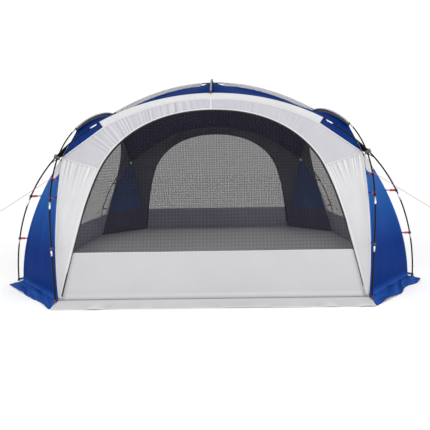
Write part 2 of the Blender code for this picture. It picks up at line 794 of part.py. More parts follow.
def build_guys():
    """A taut line from the top clip of each front and back leg out to a peg on the ground."""
    for corner, (sx, sy) in CORNERS.items():
        flip = vec(sx, sy, 1)
        centre, leg = leg_point(CLIP_HEIGHTS[-1], -1)
        ground = centre + GUY_REACH * unit(vec(-1, -1, 0)) - vec(0, 0, centre[2])
        hook = ground + vec(0, 0, PEG_LENGTH * 0.6)
        along = unit(hook - centre)
        slant = math.acos(abs(float(along @ leg)))
        side = unit(along - (along @ leg) * leg)
        start = centre + side * (CLIP_RING[0] + GAP + GUY / 2 * math.cos(slant))
        along = unit(hook - start)
        stop = hook - along * (PEG / 2 + GAP)
        tube(f"guy_line_{corner}", "guy red", [start * flip, stop * flip], GUY / 2)
        lean = unit(vec(-PEG_LEAN, -PEG_LEAN, 1))
        rise = PEG / 2 * math.sqrt(1 - lean[2] ** 2)
        foot = hook - lean * (hook[2] - rise) / lean[2]
        head = foot + lean * PEG_LENGTH
        peg = bar(f"peg_{corner}", foot * flip, head * flip, PEG / 2, 10, PARTS)
        material(peg, "peg steel")


clear_scene()
PARTS = new_collection("party tent")
CUTTERS = new_collection("cutters")
build_poles()
build_hubs()
build_apex()
build_arch_sleeves()
build_ridge_sleeves()
build_roof()
build_brows()
build_walls()
build_doors()
build_corners()
build_clip_tapes()
build_guys()
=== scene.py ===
# %% [markdown]
# # A party tent in cloth, rod and webbing
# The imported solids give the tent's true sizes: four arch poles, two roof poles, thin cloth panels
# between them, and guy lines. Here each of them gets the cloth, the folds and the fittings that
# make it look like a real tent. We start by loading the solids, which stay where they are.

# %% Load the frame
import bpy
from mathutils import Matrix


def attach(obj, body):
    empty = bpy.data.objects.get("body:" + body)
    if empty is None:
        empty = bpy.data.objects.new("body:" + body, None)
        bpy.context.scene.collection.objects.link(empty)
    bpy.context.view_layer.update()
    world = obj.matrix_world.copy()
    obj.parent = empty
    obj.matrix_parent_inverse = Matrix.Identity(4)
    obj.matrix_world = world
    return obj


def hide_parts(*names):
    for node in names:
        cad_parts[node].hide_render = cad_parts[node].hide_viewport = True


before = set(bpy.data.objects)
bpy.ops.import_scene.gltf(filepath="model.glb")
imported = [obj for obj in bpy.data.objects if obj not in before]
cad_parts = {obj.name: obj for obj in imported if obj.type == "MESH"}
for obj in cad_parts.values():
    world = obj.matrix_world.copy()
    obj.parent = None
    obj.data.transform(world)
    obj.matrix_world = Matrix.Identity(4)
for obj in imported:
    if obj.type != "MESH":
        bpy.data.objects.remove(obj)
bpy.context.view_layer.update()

import math
import bmesh
import bpy
import numpy as np
from mathutils import Matrix, Vector

# %% [markdown]
# ## The camera
# The photographer stood in front of the tent, a little to its right, and held the camera about
# a metre up, tipped down by seven degrees and very slightly turned. A camera object can be aimed
# with a Track To constraint or with angles. Here the three directions of the view are worked out
# and written into its matrix, because that keeps the small roll exact.

# %% Camera
PHOTO = 430  # the photograph's width and height, in pixels
FOCUS = 385.06  # focal length, in the same pixels
SENSOR = 36.0  # the sensor's width, in mm
CAMERA_PLACE = Vector((0.080, -4.738, 1.031))
YAW, TILT, ROLL = -0.017, -0.124, -0.018  # radians


def new_object(name, data):
    made = bpy.data.objects.new(name, data)
    bpy.context.scene.collection.objects.link(made)
    return made


ahead = Vector((math.sin(YAW) * math.cos(TILT), math.cos(YAW) * math.cos(TILT), math.sin(TILT)))
level_right = Vector((math.cos(YAW), -math.sin(YAW), 0.0))
level_up = level_right.cross(ahead)
right = level_right * math.cos(ROLL) + level_up * math.sin(ROLL)
upward = level_up * math.cos(ROLL) - level_right * math.sin(ROLL)
lens = bpy.data.cameras.new("camera")
lens.sensor_width, lens.lens = SENSOR, FOCUS / PHOTO * SENSOR
lens.clip_start, lens.clip_end = 0.05, 200.0
camera = new_object("camera", lens)
axes = Matrix((right, upward, -ahead)).transposed().to_4x4()
camera.matrix_world = Matrix.Translation(CAMERA_PLACE) @ axes
bpy.context.scene.camera = camera
print("lens", round(lens.lens, 2), "mm, looking along", [round(v, 3) for v in ahead])

# %% [markdown]
# ## Nodes
# A material is a tree of nodes: each takes values, or what other nodes give out. The Geometry Nodes
# further down are trees of the same kind. They could all be drawn in the editor. Written out with
# two helpers they stay short, and the nodes are spread out, so that a tree can still be read there.

# %% Helpers for nodes


def join(tree, node, inputs):
    """Sets a node's inputs to values, or links them to other nodes' outputs."""
    for socket, source in dict(inputs).items():
        if hasattr(source, "is_output"):
            tree.links.new(source, node.inputs[socket])
        else:
            node.inputs[socket].default_value = source


def add_node(tree, kind, inputs=(), **settings):
    """Adds a node with these settings and inputs, and gives back its outputs."""
    node = tree.nodes.new(kind)
    node.location = (len(tree.nodes) % 6 * 220, -(len(tree.nodes) // 6) * 320)
    for key, value in settings.items():
        setattr(node, key, value)
    join(tree, node, inputs)
    return node.outputs


def plain_material(name, colour, roughness, shine=0.5, metallic=0.0):
    """A Principled material, and its tree and shader node for what is added later."""
    made = bpy.data.materials.new(name)
    made.use_nodes = True
    shader = made.node_tree.nodes["Principled BSDF"]
    join(made.node_tree, shader, {"Base Color": (*colour, 1.0), "Roughness": roughness,
                                  "Specular IOR Level": shine, "Metallic": metallic})
    return made, made.node_tree, shader


print("node helpers ready")

# %% [markdown]
# ## The studio
# The tent stands on a plain pale floor under a white sky, so that its own colours read clearly.
# A large soft lamp on each side of the camera keeps the front bright. Little light gets in through
# the roof and the walls, and a weak lamp inside stands for the part that shines through the cloth.

# %% Floor, sky and lamps
FLOOR_REACH, FLOOR_DROP = 40.0, 0.001  # half its width, and how far below the tent's feet it lies

bpy.context.scene.view_settings.view_transform = "Standard"
sky = bpy.data.worlds.new("white sky")
sky.use_nodes = True
join(sky.node_tree, sky.node_tree.nodes["Background"], {"Color": (1.0, 1.0, 1.0, 1.0), "Strength": 1.06})
bpy.context.scene.world = sky

floor_mesh = bpy.data.meshes.new("studio_floor")
floor_corners = [(x * FLOOR_REACH, y * FLOOR_REACH, 0) for x, y in ((-1, -1), (1, -1), (1, 1), (-1, 1))]
floor_mesh.from_pydata(floor_corners, [], [(0, 1, 2, 3)])
floor_mesh.materials.append(plain_material("pale floor", (0.95, 0.95, 0.95), 0.9)[0])
floor = new_object("studio_floor", floor_mesh)
floor.location.z = -FLOOR_DROP


def soft_lamp(name, place, aim, size, watts):
    data = bpy.data.lights.new(name, "AREA")
    data.shape = "DISK"
    data.size = size
    data.energy = watts
    lamp = new_object(name, data)
    lamp.location = place
    lamp.rotation_euler = (Vector(aim) - Vector(place)).to_track_quat("-Z", "Y").to_euler()


soft_lamp("key_lamp", (-3.5, -6.5, 2.4), (0, 0, 0.8), size=2.5, watts=112)
soft_lamp("fill_lamp", (4.5, -6.0, 1.8), (0, 0, 0.8), size=2.5, watts=130)
soft_lamp("light_through_the_cloth", (0, 0, 1.30), (0, 0, 0), size=1.6, watts=3)
print("studio: a floor, a sky and three lamps")

# %% [markdown]
# ## The tent's own lines
# Everything on this tent follows a few curves: the half ellipse of an arch pole, the fall of a
# roof pole, the leaning plane of a door and the curve of its zip. They are the same formulas and
# sizes that the solids were made with. One side is worked out in the front's place and then
# turned or mirrored to the other three, as the maker cuts four panels from one pattern.

# %% Sizes, in metres
CLOTH, GAP = 0.0012, 0.0003  # the cloth's thickness, and the play between hard parts
# the walls: half the tent and half a wall at the ground, the hub corner, and how the edges lean
TENT_HALF, WALL_HALF, HUB_CORNER_HEIGHT = 1.800, 1.228, 1.140
EDGE_LEAN, EDGE_BOW, WALL_LEAN = 0.080, 0.300, 0.370
# the flaps on the ground: their widths, and the places of a corner flap's two tips
FRONT_SKIRT, SIDE_SKIRT = 0.215, 0.060
CORNER_FLAP_FRONT, CORNER_FLAP_SIDE = (-1.216, -2.012), (-1.850, -1.370)
# the zip: half its width at the foot, how it leans and bows, its shoulder and its crown
ZIP_FOOT, ZIP_LEAN, ZIP_BOW = 1.206, 0.175, 0.0625
ZIP_SHOULDER, ZIP_CROWN, ZIP_PULLS = 1.032, 1.530, (0.200, 0.611)
DOOR_PANEL_TOP = 0.354  # the upper edge of a door's closed lower part
# the arch poles: their feet and tops, and the hub where two of them cross
POLE, POLE_FOOT_OUT, POLE_FOOT_DEPTH = 0.0125, 1.840, 1.235
ARCH_TOP_DEPTH, ARCH_RISE = 1.190, 1.680
HUB_ANGLE, HUB_STEP = math.radians(42.7), 0.0078
# the roof poles and the roof's top under them
APEX_HEIGHT, APEX_DROP, ROOF_POLE_OVERHANG, APEX_BARE = 2.022, 0.020, 0.030, 0.125
LOWER_APEX = APEX_HEIGHT - POLE - 2 * GAP
# the sleeves: their height, their hem, the share and the arch's angle where they start
SLEEVE_DROP, HEM_RADIUS = 0.043, 0.0078
SLEEVE_END, SLEEVE_STEPS, CORNER_STEPS = 0.30, 8, 3
FIRST_ANGLE = math.radians(58.3)

HERE, TO_LEFT = [0, 1, 2], [1, 0, 2]  # the order of x, y and z: kept, or turned to the left side


def moved(order, *signs):
    """Takes points from the pattern's place to another side or corner."""
    return lambda p: p[..., order] * signs


SIDES = {"front": moved(HERE, 1, 1, 1), "back": moved(HERE, 1, -1, 1),
         "left": moved(TO_LEFT, 1, 1, 1), "right": moved(TO_LEFT, -1, 1, 1)}
CORNERS = {"front_left": moved(HERE, 1, 1, 1), "front_right": moved(HERE, -1, 1, 1),
           "back_left": moved(HERE, 1, -1, 1), "back_right": moved(HERE, -1, -1, 1)}
LEGS = {"front": -1, "side": 1}  # each corner's two legs, and which of them runs inside at the hub


def on_leg(leg, *points):
    """Points of the front leg, or the same points turned to the side leg beside it."""
    return points if leg == "front" else [p[TO_LEFT] for p in points]


def point(*values):
    """A point, or many at once where a value is an array."""
    return np.stack(np.broadcast_arrays(*[np.asarray(v, float) for v in values]), axis=-1)


def unit(v):
    return v / np.linalg.norm(v, axis=-1, keepdims=True)


def mix(a, b, t):
    t = np.asarray(t, float)
    return a * (1 - t) + b * t


def steps(count):
    return np.linspace(0, 1, count + 1)


print("one side is", round(2 * TENT_HALF, 2), "m from wall to wall")

# %% [markdown]
# ## Where the poles run
# An arch pole is half an ellipse that also swings outwards between its foot and its top, so that it
# meets its partner at the hub. There one pole passes just outside the other.

# %% The poles' lines


def arch_bulge():
    """How far the arches swing out, so that two of them meet at the hub's angle."""
    out = POLE_FOOT_OUT * math.cos(HUB_ANGLE)
    straight = mix(ARCH_TOP_DEPTH, POLE_FOOT_DEPTH, math.cos(HUB_ANGLE) ** 2)
    return (out - straight) / math.sin(2 * HUB_ANGLE) ** 2


BULGE = arch_bulge()


def arch_base(angle):
    """The arches' common line, before one is stepped over the other."""
    angle = np.asarray(angle, float)
    depth = mix(ARCH_TOP_DEPTH, POLE_FOOT_DEPTH, np.cos(angle) ** 2) + BULGE * np.sin(2 * angle) ** 2
    return point(-POLE_FOOT_OUT * np.cos(angle), -depth, ARCH_RISE * np.sin(angle))


def hub_normal():
    along = arch_base(HUB_ANGLE + 0.001) - arch_base(HUB_ANGLE - 0.001)
    normal = np.cross(along, along[TO_LEFT])
    return unit(normal if normal[2] > 0 else -normal)


HUB_NORMAL = hub_normal()


def arch_point(angle, lift):
    """A point of an arch pole. The outer pole of a hub has lift 1 and the inner one -1."""
    angle = np.asarray(angle, float)
    normal = np.where((angle > math.pi / 2)[..., None], HUB_NORMAL * (-1, 1, 1), HUB_NORMAL)
    return arch_base(angle) + (lift * HUB_STEP * np.sin(2 * angle) ** 4)[..., None] * normal


def side_lift(side):
    return 1 if side in ("front", "back") else -1


def leg_point(height, lift):
    """Where the left arch's front leg is at this height, and which way it runs."""
    angles = np.linspace(0.0, HUB_ANGLE, 400)
    angle = np.interp(height, arch_point(angles, lift)[:, 2], angles)
    here, ahead_of = arch_point(angle, lift), arch_point(angle + 0.01, lift)
    return here[..., TO_LEFT], unit(ahead_of - here)[..., TO_LEFT]


def roof_pole_height(out, top):
    """A roof pole's height, this far out. Its ends rest on the hems of the arches' sleeves."""
    rest = HEM_RADIUS + CLOTH / 2 + POLE / 2 + GAP
    slope = math.atan(2 * (top - ARCH_RISE) / ARCH_TOP_DEPTH)
    end = ARCH_RISE + rest / math.cos(slope)
    return top - (top - end) * (np.asarray(out) / ARCH_TOP_DEPTH) ** 2


print("hub at", np.round(arch_base(HUB_ANGLE), 3))

# %% [markdown]
# ## Where the panels are sewn together
# A wall's edge follows its leg, the zip's half curve is a straight leg with a Bezier crown, and the
# roof's seam hangs a sleeve's height under the arch.

# %% The seams' lines


def in_door_plane(out, height):
    return point(out, -TENT_HALF + WALL_LEAN * np.asarray(height), height)


def edge_out(height):
    return TENT_HALF - EDGE_LEAN * height - EDGE_BOW * height**2


def leg_edge(height):
    """The wall's edge along a leg, from the ground to the hub corner."""
    height = np.asarray(height, float)
    across = mix(WALL_HALF, edge_out(HUB_CORNER_HEIGHT), height / HUB_CORNER_HEIGHT)
    return point(-across, -edge_out(height), height)


def zip_leg(t):
    height = ZIP_SHOULDER * np.asarray(t, float)
    return in_door_plane(-(ZIP_FOOT - ZIP_LEAN * height - ZIP_BOW * height**4), height)


def zip_crown(t):
    """Left half of the zip's curve, from the shoulder at 0 to the top at 1."""
    t = np.asarray(t, float)[..., None]
    slope = unit(np.array([-ZIP_LEAN - 4 * ZIP_BOW * ZIP_SHOULDER**3, 1]))
    a, d = np.array([-zip_leg(1)[0], ZIP_SHOULDER]), np.array([0, ZIP_CROWN])
    b, c = a + slope * ZIP_PULLS[0], d + np.array([ZIP_PULLS[1], 0])
    p = (1 - t) ** 3 * a + 3 * (1 - t) ** 2 * t * b + 3 * (1 - t) * t**2 * c + t**3 * d
    return in_door_plane(-p[..., 0], p[..., 1])


def sleeve_angle(t):
    """The arch's angle over a place on the zip's crown, where the sleeve is."""
    share = np.clip((np.asarray(t) - SLEEVE_END) / (1 - SLEEVE_END), 0, 1)
    return mix(FIRST_ANGLE, math.pi / 2, share)


def roof_seam(t):
    """Where the roof meets the brow, from the hub corner at 0 past the sleeve's end to the top."""
    t = np.asarray(t, float)
    pole = arch_base(sleeve_angle(t))
    under = pole + SLEEVE_DROP * unit(zip_crown(np.maximum(t, SLEEVE_END)) - pole)
    return mix(leg_edge(HUB_CORNER_HEIGHT), under, np.clip(t / SLEEVE_END, 0, 1)[..., None])


RIDGE_END, RIDGE_LOW = -float(roof_seam(1.0)[1]), float(roof_seam(1.0)[2])
ROOF_APEX = LOWER_APEX - APEX_DROP


def ridge_height(out):
    return ROOF_APEX - (ROOF_APEX - RIDGE_LOW) * (np.asarray(out) / RIDGE_END) ** 2


print("roof top at", round(ROOF_APEX, 3), "m, zip crown at", ZIP_CROWN, "m")

# %% [markdown]
# ## Folds
# Cloth never hangs perfectly flat. Where a long edge is sewn to a shorter one it gathers into
# small folds that die away from the seam, and elsewhere it shows long soft waves. Blender can
# simulate this, but a tent is stretched tight between its poles, so its folds are few and can be
# placed exactly: smooth random numbers, always the same ones, are added along the cloth's normal.

# %% Smooth random numbers


def ease(part):
    return part * part * (3 - 2 * part)


def wave(x, seed):
    """Smooth noise along a line, from -1 to 1, with a bump about once a unit."""
    table = np.random.RandomState(seed).uniform(-1, 1, 512)
    x = np.asarray(x, float) + 256.0
    low = np.floor(x).astype(int)
    part = ease(x - low)
    return table[low % 512] * (1 - part) + table[(low + 1) % 512] * part


def waves(x, y, seed):
    """Smooth noise over a surface, from -1 to 1."""
    table = np.random.RandomState(seed).uniform(-1, 1, (64, 64))
    x, y = np.asarray(x, float) + 32.0, np.asarray(y, float) + 32.0
    i, j = np.floor(x).astype(int), np.floor(y).astype(int)
    a, b = ease(x - i), ease(y - j)
    i, j, k, m = i % 64, j % 64, (i + 1) % 64, (j + 1) % 64
    return mix(mix(table[i, j], table[k, j], a), mix(table[i, m], table[k, m], a), b)


def folds(x, count, depth, seed):
    """Folds over a length of 1: about this many, as deep as this in metres."""
    return depth * wave(x * count, seed)


def fade(x, low, high):
    """0 up to low, 1 from high, smooth between."""
    return ease(np.clip((np.asarray(x, float) - low) / (high - low), 0, 1))


def surface_normals(grid):
    """Unit normals of a grid of points."""
    return unit(np.cross(np.gradient(grid, axis=1), np.gradient(grid, axis=0)) + 1e-12)


def push(grid, shift):
    """The grid with its points moved along its normals."""
    return grid + shift[..., None] * surface_normals(grid)


print("a fold at three places:", np.round(wave([0.2, 0.9, 1.7], 4), 2))

# %% [markdown]
# ## A sheet of cloth
# Each panel is a grid of points. The faces get a UV map that measures the cloth in metres, so that
# a weave drawn on it keeps its size and follows the panel. Each point also keeps how far it stands
# out of its surroundings, and the materials use it to paint shade into creases and light onto crests.
# Solidify then gives the sheet its two faces, and the inner face gets a material of its own: the
# inside of this cloth is coated dark.

# %% Measuring a grid
FOLD_DEPTH, FOLD_REACH = 0.0030, 0.016  # a full crease's depth, and how far away its surroundings are


def lengths(grid, axis):
    """The steps between neighbours along an axis of a grid of points."""
    return np.linalg.norm(np.diff(grid, axis=axis), axis=-1)


def cloth_uv(grid):
    """The distance along the cloth in metres, across from its middle and up from its first row."""
    v = np.vstack([np.zeros((1, grid.shape[1])), np.cumsum(lengths(grid, 0), axis=0)])
    u = np.hstack([np.zeros((grid.shape[0], 1)), np.cumsum(lengths(grid, 1), axis=1)])
    middle = grid.shape[1] // 2
    u = u - u[:, middle:middle + 1]
    return np.stack([u, v.mean(axis=1, keepdims=True) + 0 * u], axis=-1)


def cut_size(grid):
    """The widest and the longest run over a grid: the size of the cloth it is cut from."""
    return tuple(round(float(lengths(grid, axis).sum(axis=axis).max()), 3) for axis in (1, 0))


def fold_height(grid):
    """How far each point stands out of its row, from -1 in a fold to 1 on a crest."""
    reach = int(np.clip(round(FOLD_REACH / lengths(grid, 1).mean()), 1, 8))
    padded = np.pad(grid, ((0, 0), (reach, reach), (0, 0)), mode="reflect", reflect_type="odd")
    near = sum(padded[:, k:k + grid.shape[1]] for k in range(2 * reach + 1)) / (2 * reach + 1)
    return np.clip(((grid - near) * surface_normals(near)).sum(axis=-1) / FOLD_DEPTH, -1, 1)


print("a crease is", FOLD_DEPTH * 1000, "mm deep")

# %% Sheets from grids
CENTRE = np.array([0.0, 0.0, 0.7])  # a cloth's inside faces this way
MERGE, SLIVER = 0.00008, 0.00002  # points and edges closer than this become one


def add_quads(bm, points, spots, closed=False):
    """Adds a grid of faces, with these places in the UV map. A closed one goes right round."""
    layer = bm.loops.layers.uv.get("cloth") or bm.loops.layers.uv.new("cloth")
    verts = [[bm.verts.new(p) for p in row] for row in points]
    rows, columns = spots.shape[:2]
    for i, j in np.ndindex(rows - 1, columns if closed else columns - 1):
        after = (j + 1) % columns
        ring = ((i, j), (i, after), (i + 1, after), (i + 1, j))
        face = bm.faces.new([verts[a][b] for a, b in ring])
        for loop, spot in zip(face.loops, ring):
            loop[layer].uv = spots[spot]
    return verts


def mesh_from(bm, name, materials, smooth=True):
    """The finished mesh of what was built."""
    for face in bm.faces:
        face.smooth = smooth
    mesh = bpy.data.meshes.new(name)
    bm.to_mesh(mesh)
    bm.free()
    for material in materials:
        mesh.materials.append(material)
    return mesh


def cloth_mesh(name, grid, where, materials, outward):
    """An open mesh from a grid of points, turned outwards, its fold heights kept for painted crease shade."""
    bm = bmesh.new()
    stands = bm.verts.layers.float.new("fold")
    verts = add_quads(bm, where(grid), cloth_uv(grid))
    heights = fold_height(grid)
    for i, j in np.ndindex(heights.shape):
        verts[i][j][stands] = heights[i, j]
    bmesh.ops.remove_doubles(bm, verts=bm.verts, dist=MERGE)
    bmesh.ops.dissolve_degenerate(bm, edges=bm.edges, dist=SLIVER)
    bmesh.ops.recalc_face_normals(bm, faces=bm.faces)
    facing = sum(f.normal.dot(outward or f.calc_center_median() - Vector(CENTRE)) * f.calc_area()
                 for f in bm.faces)
    if facing < 0:
        bmesh.ops.reverse_faces(bm, faces=bm.faces)
    return mesh_from(bm, name, materials)


def finish_mesh(obj):
    """The object's modifiers applied: a plain mesh in their place."""
    bpy.context.view_layer.update()
    graph = bpy.context.evaluated_depsgraph_get()
    mesh = bpy.data.meshes.new_from_object(obj.evaluated_get(graph))
    old = obj.data
    obj.modifiers.clear()
    obj.data = mesh
    mesh.name = obj.name
    if old.users == 0:
        bpy.data.meshes.remove(old)
    return obj


def dress(obj, node=None):
    """Joins a finished piece to the tent's body, in place of a solid."""
    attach(obj, "root")
    if node:
        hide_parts(node)
    return obj


def sew(name, grid, where, outside, inside, node,
        thick=CLOTH, outward=None):
    """A finished piece of cloth from its grid. It gives back the size it was cut to and its area."""
    mesh = cloth_mesh(name, grid, where, (outside, inside), outward)
    cut = cut_size(grid)
    area = min(sum(p.area for p in mesh.polygons), cut[0] * cut[1])
    obj = new_object(name, mesh)
    solidify = obj.modifiers.new("thickness", "SOLIDIFY")
    solidify.thickness = thick
    solidify.offset = 0
    solidify.material_offset = 1
    solidify.use_quality_normals = True
    dress(finish_mesh(obj), node)
    return [*cut, round(area, 2)]


print("a cloth's inside faces", CENTRE)

# %% [markdown]
# ## Cloth materials
# The walls are coated polyester: a close plain weave, smooth to the touch, with a soft sheen and
# slight unevenness from the coating. One recipe makes every cloth here, with its own colours. Waves
# of threads both ways drive the bump, and slow noise moves the colour and the roughness. The blue
# cloth also changes with its height, as painted light and shade: lighter towards the top and on the
# flap at the ground, darker between.

# %% Cloth recipe
CLOTH_GLOSS, THREAD_DEPTH = 0.06, 0.0002  # how far the roughness moves, and the bump's height


def add_ramp(tree, factor, stops):
    """A colour ramp with these places and colours. It gives back the colour."""
    colour = add_node(tree, "ShaderNodeValToRGB", {"Fac": factor})["Color"]
    elements = colour.node.color_ramp.elements
    for number, (place, shade) in enumerate(stops):
        stop = elements[number] if number < 2 else elements.new(place)
        stop.position, stop.color = place, (*shade, 1.0)
    return colour


def thread_waves(tree, spot, scale, meeting):
    """Waves across and along the cloth. Where they meet, the higher one counts, or their sum."""
    weft, warp = (add_node(tree, "ShaderNodeTexWave", {"Vector": spot, "Scale": scale},
                           bands_direction=way)["Fac"] for way in "XY")
    return add_node(tree, "ShaderNodeMath", {0: weft, 1: warp}, operation=meeting)["Value"]


def change_of_gloss(tree, factor, roughness, spread):
    return add_node(tree, "ShaderNodeMapRange", {
        "Value": factor, "To Min": roughness - spread, "To Max": roughness + spread})["Result"]


THREADS_PER_SCALE = 6.2832  # a wave texture of scale 1 has about as many waves in two metres


def woven(name, light, dark, roughness, shine=0.20, sheen=0.02, weave=1400.0, bump=0.12, by_height=(),
          crease=0.10):
    """Coated cloth: threads from the UV map, and slow changes of colour and gloss. Where colours by
    height are given, light and dark only shade them. Creases get painted shade and crests painted
    light, as much as crease sets. A weave of 1400 has threads 1.4 mm apart."""
    made, tree, shader = plain_material(name, light, roughness, shine)
    spot = add_node(tree, "ShaderNodeUVMap", uv_map="cloth")["UV"]
    slow = add_node(tree, "ShaderNodeTexNoise", {
        "Vector": spot, "Scale": 2.6, "Detail": 4.0, "Roughness": 0.55})["Fac"]
    colour = add_ramp(tree, slow, ((0.35, dark), (0.65, light)))
    if by_height:
        place = add_node(tree, "ShaderNodeTexCoord")["Object"]
        rise = add_node(tree, "ShaderNodeSeparateXYZ", {"Vector": place})["Z"]
        # Colours by height: on the blue cloth painted light and shade, on its lining a grey band at the
        # bottom.
        lining_band_and_painted_light = add_ramp(tree, rise, by_height)
        colour = add_node(tree, "ShaderNodeMix", {0: 1.0, 6: lining_band_and_painted_light, 7: colour},
                          data_type="RGBA", blend_type="MULTIPLY")[2]
    # Painted shade and light: the fold attribute darkens the colour in creases and lightens it on crests.
    fold = add_node(tree, "ShaderNodeAttribute", attribute_name="fold")["Fac"]
    fold_light_and_shade = add_node(tree, "ShaderNodeMath", {0: fold, 1: crease, 2: 1.0}, operation="MULTIPLY_ADD")
    creased = add_node(tree, "ShaderNodeVectorMath", {0: colour, "Scale": fold_light_and_shade["Value"]}, operation="SCALE")
    raised = add_node(tree, "ShaderNodeBump", {
        "Strength": bump, "Distance": THREAD_DEPTH,
        "Height": thread_waves(tree, spot, weave / THREADS_PER_SCALE, "MAXIMUM")})
    join(tree, shader, {"Base Color": creased["Vector"], "Normal": raised["Normal"],
                        "Roughness": change_of_gloss(tree, slow, roughness, CLOTH_GLOSS),
                        "Sheen Weight": sheen, "Sheen Roughness": 0.5})
    return made


print("cloth recipe ready")

# %% [markdown]
# ## The cloths
# The white cloth is greyer on the brows (painted shade) and the doors, and a little lighter on the
# sleeves (painted light). The blue is deeper on the roof, and each has a dark lining. Every cloth is
# given a light and a slightly darker colour to move between.

# %% Cloths
FINE_WEAVE = 2400.0
BAND_TOP = 0.350  # the lining is grey up to here on the corner panels
BAND_GREY, BLUE_SHADES = (0.125, 0.116, 0.190), ((1.0, 1.0, 1.0), (0.88, 0.88, 0.88))

WHITE = woven("white coated cloth", (0.495, 0.495, 0.505), (0.470, 0.470, 0.482), 0.62, crease=0.20)
WHITE_INSIDE = woven("grey lining of the white cloth", (0.150, 0.142, 0.180), (0.130, 0.124, 0.158), 0.75)
# Painted shade: the brow is the walls' white cloth, made greyer where it gets less light.
BROW = woven("white brow cloth", (0.412, 0.410, 0.440), (0.385, 0.383, 0.413), 0.62, crease=0.24)
# Painted light and shade by height: lighter towards the top and on the flap on the ground, darker between.
BLUE = woven("blue coated cloth", *BLUE_SHADES, 0.68, shine=0.03, sheen=0.0, by_height=(
    (0.00, (0.018, 0.080, 0.340)), (0.06, (0.0030, 0.026, 0.155)), (0.35, (0.0020, 0.022, 0.145)),
    (0.70, (0.010, 0.062, 0.250)), (1.00, (0.030, 0.100, 0.300))))
BLUE_INSIDE = woven("navy lining of the blue cloth", *BLUE_SHADES, 0.75, shine=0.10, by_height=(
    (0.00, BAND_GREY), (BAND_TOP, BAND_GREY), (BAND_TOP + 0.004, (0.088, 0.130, 0.300)),
    (1.00, (0.088, 0.122, 0.260))))
ROOF = woven("blue roof cloth", (0.0020, 0.024, 0.150), (0.0016, 0.020, 0.130), 0.68, 0.01, 0.0)
ROOF_INSIDE = woven("navy lining of the roof", (0.063, 0.058, 0.126), (0.054, 0.050, 0.110), 0.78, 0.10)
# Painted light: the sleeves' white cloth is lighter than the walls' to make up for the shade on them.
SLEEVE = woven("white sleeve cloth", (0.520, 0.520, 0.525), (0.490, 0.490, 0.495), 0.62, crease=0.0)
GREY_SLEEVE = woven("grey sleeve cloth", (0.215, 0.220, 0.220), (0.190, 0.194, 0.194), 0.66, crease=0.0)
DOOR_PANEL = woven("white door cloth", (0.430, 0.430, 0.440), (0.410, 0.410, 0.420), 0.60)
DOOR_PANEL_INSIDE = woven("grey lining of the door", (0.400, 0.390, 0.470), (0.370, 0.362, 0.438), 0.75)
FLAP = woven("white flap cloth", (0.565, 0.565, 0.570), (0.535, 0.535, 0.542), 0.66)
BLUE_HEM = woven("blue hem cloth", (0.012, 0.060, 0.240), (0.010, 0.052, 0.215), 0.66, 0.03, 0.0, FINE_WEAVE)
ROOF_TAPE = woven("blue seam tape", (0.004, 0.026, 0.125), (0.003, 0.022, 0.108), 0.66, 0.03, 0.0, FINE_WEAVE)
print("cloths:", [m.name for m in (WHITE, BLUE, ROOF, DOOR_PANEL)])

# %% [markdown]
# ## The net
# The upper part of each door is fly net. Real net has holes of a millimetre, too small for the
# camera, so what counts is how much light passes. The material keeps the threads as bands of lower
# and higher transparency, a darker one every four centimetres, and on the front door, which hangs
# nearest and is more open, every three centimetres.

# %% Net material
NET_BLACK = (0.012, 0.012, 0.013)


def netting(name, solid, pitch):
    """Fly net that stops a share of the light between these two, in bands this far apart."""
    made, tree, shader = plain_material(name, NET_BLACK, 0.85, shine=0.1)
    spot = add_node(tree, "ShaderNodeUVMap", uv_map="cloth")["UV"]
    share = add_node(tree, "ShaderNodeMapRange", {
        "Value": thread_waves(tree, spot, math.pi / 10 / pitch, "ADD"), "From Max": 2.0,
        "To Min": solid[0], "To Max": solid[1]})
    join(tree, shader, {"Alpha": share["Result"]})
    return made


NET = netting("fly net", (0.31, 0.50), 0.040)
FRONT_NET = netting("fly net of the front door", (0.20, 0.29), 0.029)
print("nets:", NET.name, "and", FRONT_NET.name)

# %% [markdown]
# ## Side panels of the walls
# Left and right of each door a white panel runs from the ground to the hub corner. Its lower edge
# turns outwards into a flap that lies on the floor and keeps the wind out. The panel is gathered
# along its upper seam, so that it shows a row of short folds that fade downwards.

# %% Walls
WALL_ROWS, WALL_COLUMNS, SKIRT_ROWS, THRESHOLD_COLUMNS = 42, 110, 10, 60
FLOOR_CLOTH = CLOTH / 2  # the middle of a cloth that lies on the floor
GATHERS, BROAD_GATHERS = 50, 21  # across one panel
GATHER_DEPTH, BROAD_DEPTH, SKIRT_RIPPLE = 0.0050, 0.0022, 0.008
GATHER_LENGTH, GATHER_SPREAD = 0.15, 0.05
WALL_SLACK, WALL_PULL = 0.006, 0.0015
SKIRT_TAPER = 0.975  # the free edge's length, as a share of the wall's foot
CUT = {}  # every panel's grid, for the strips that are sewn on later


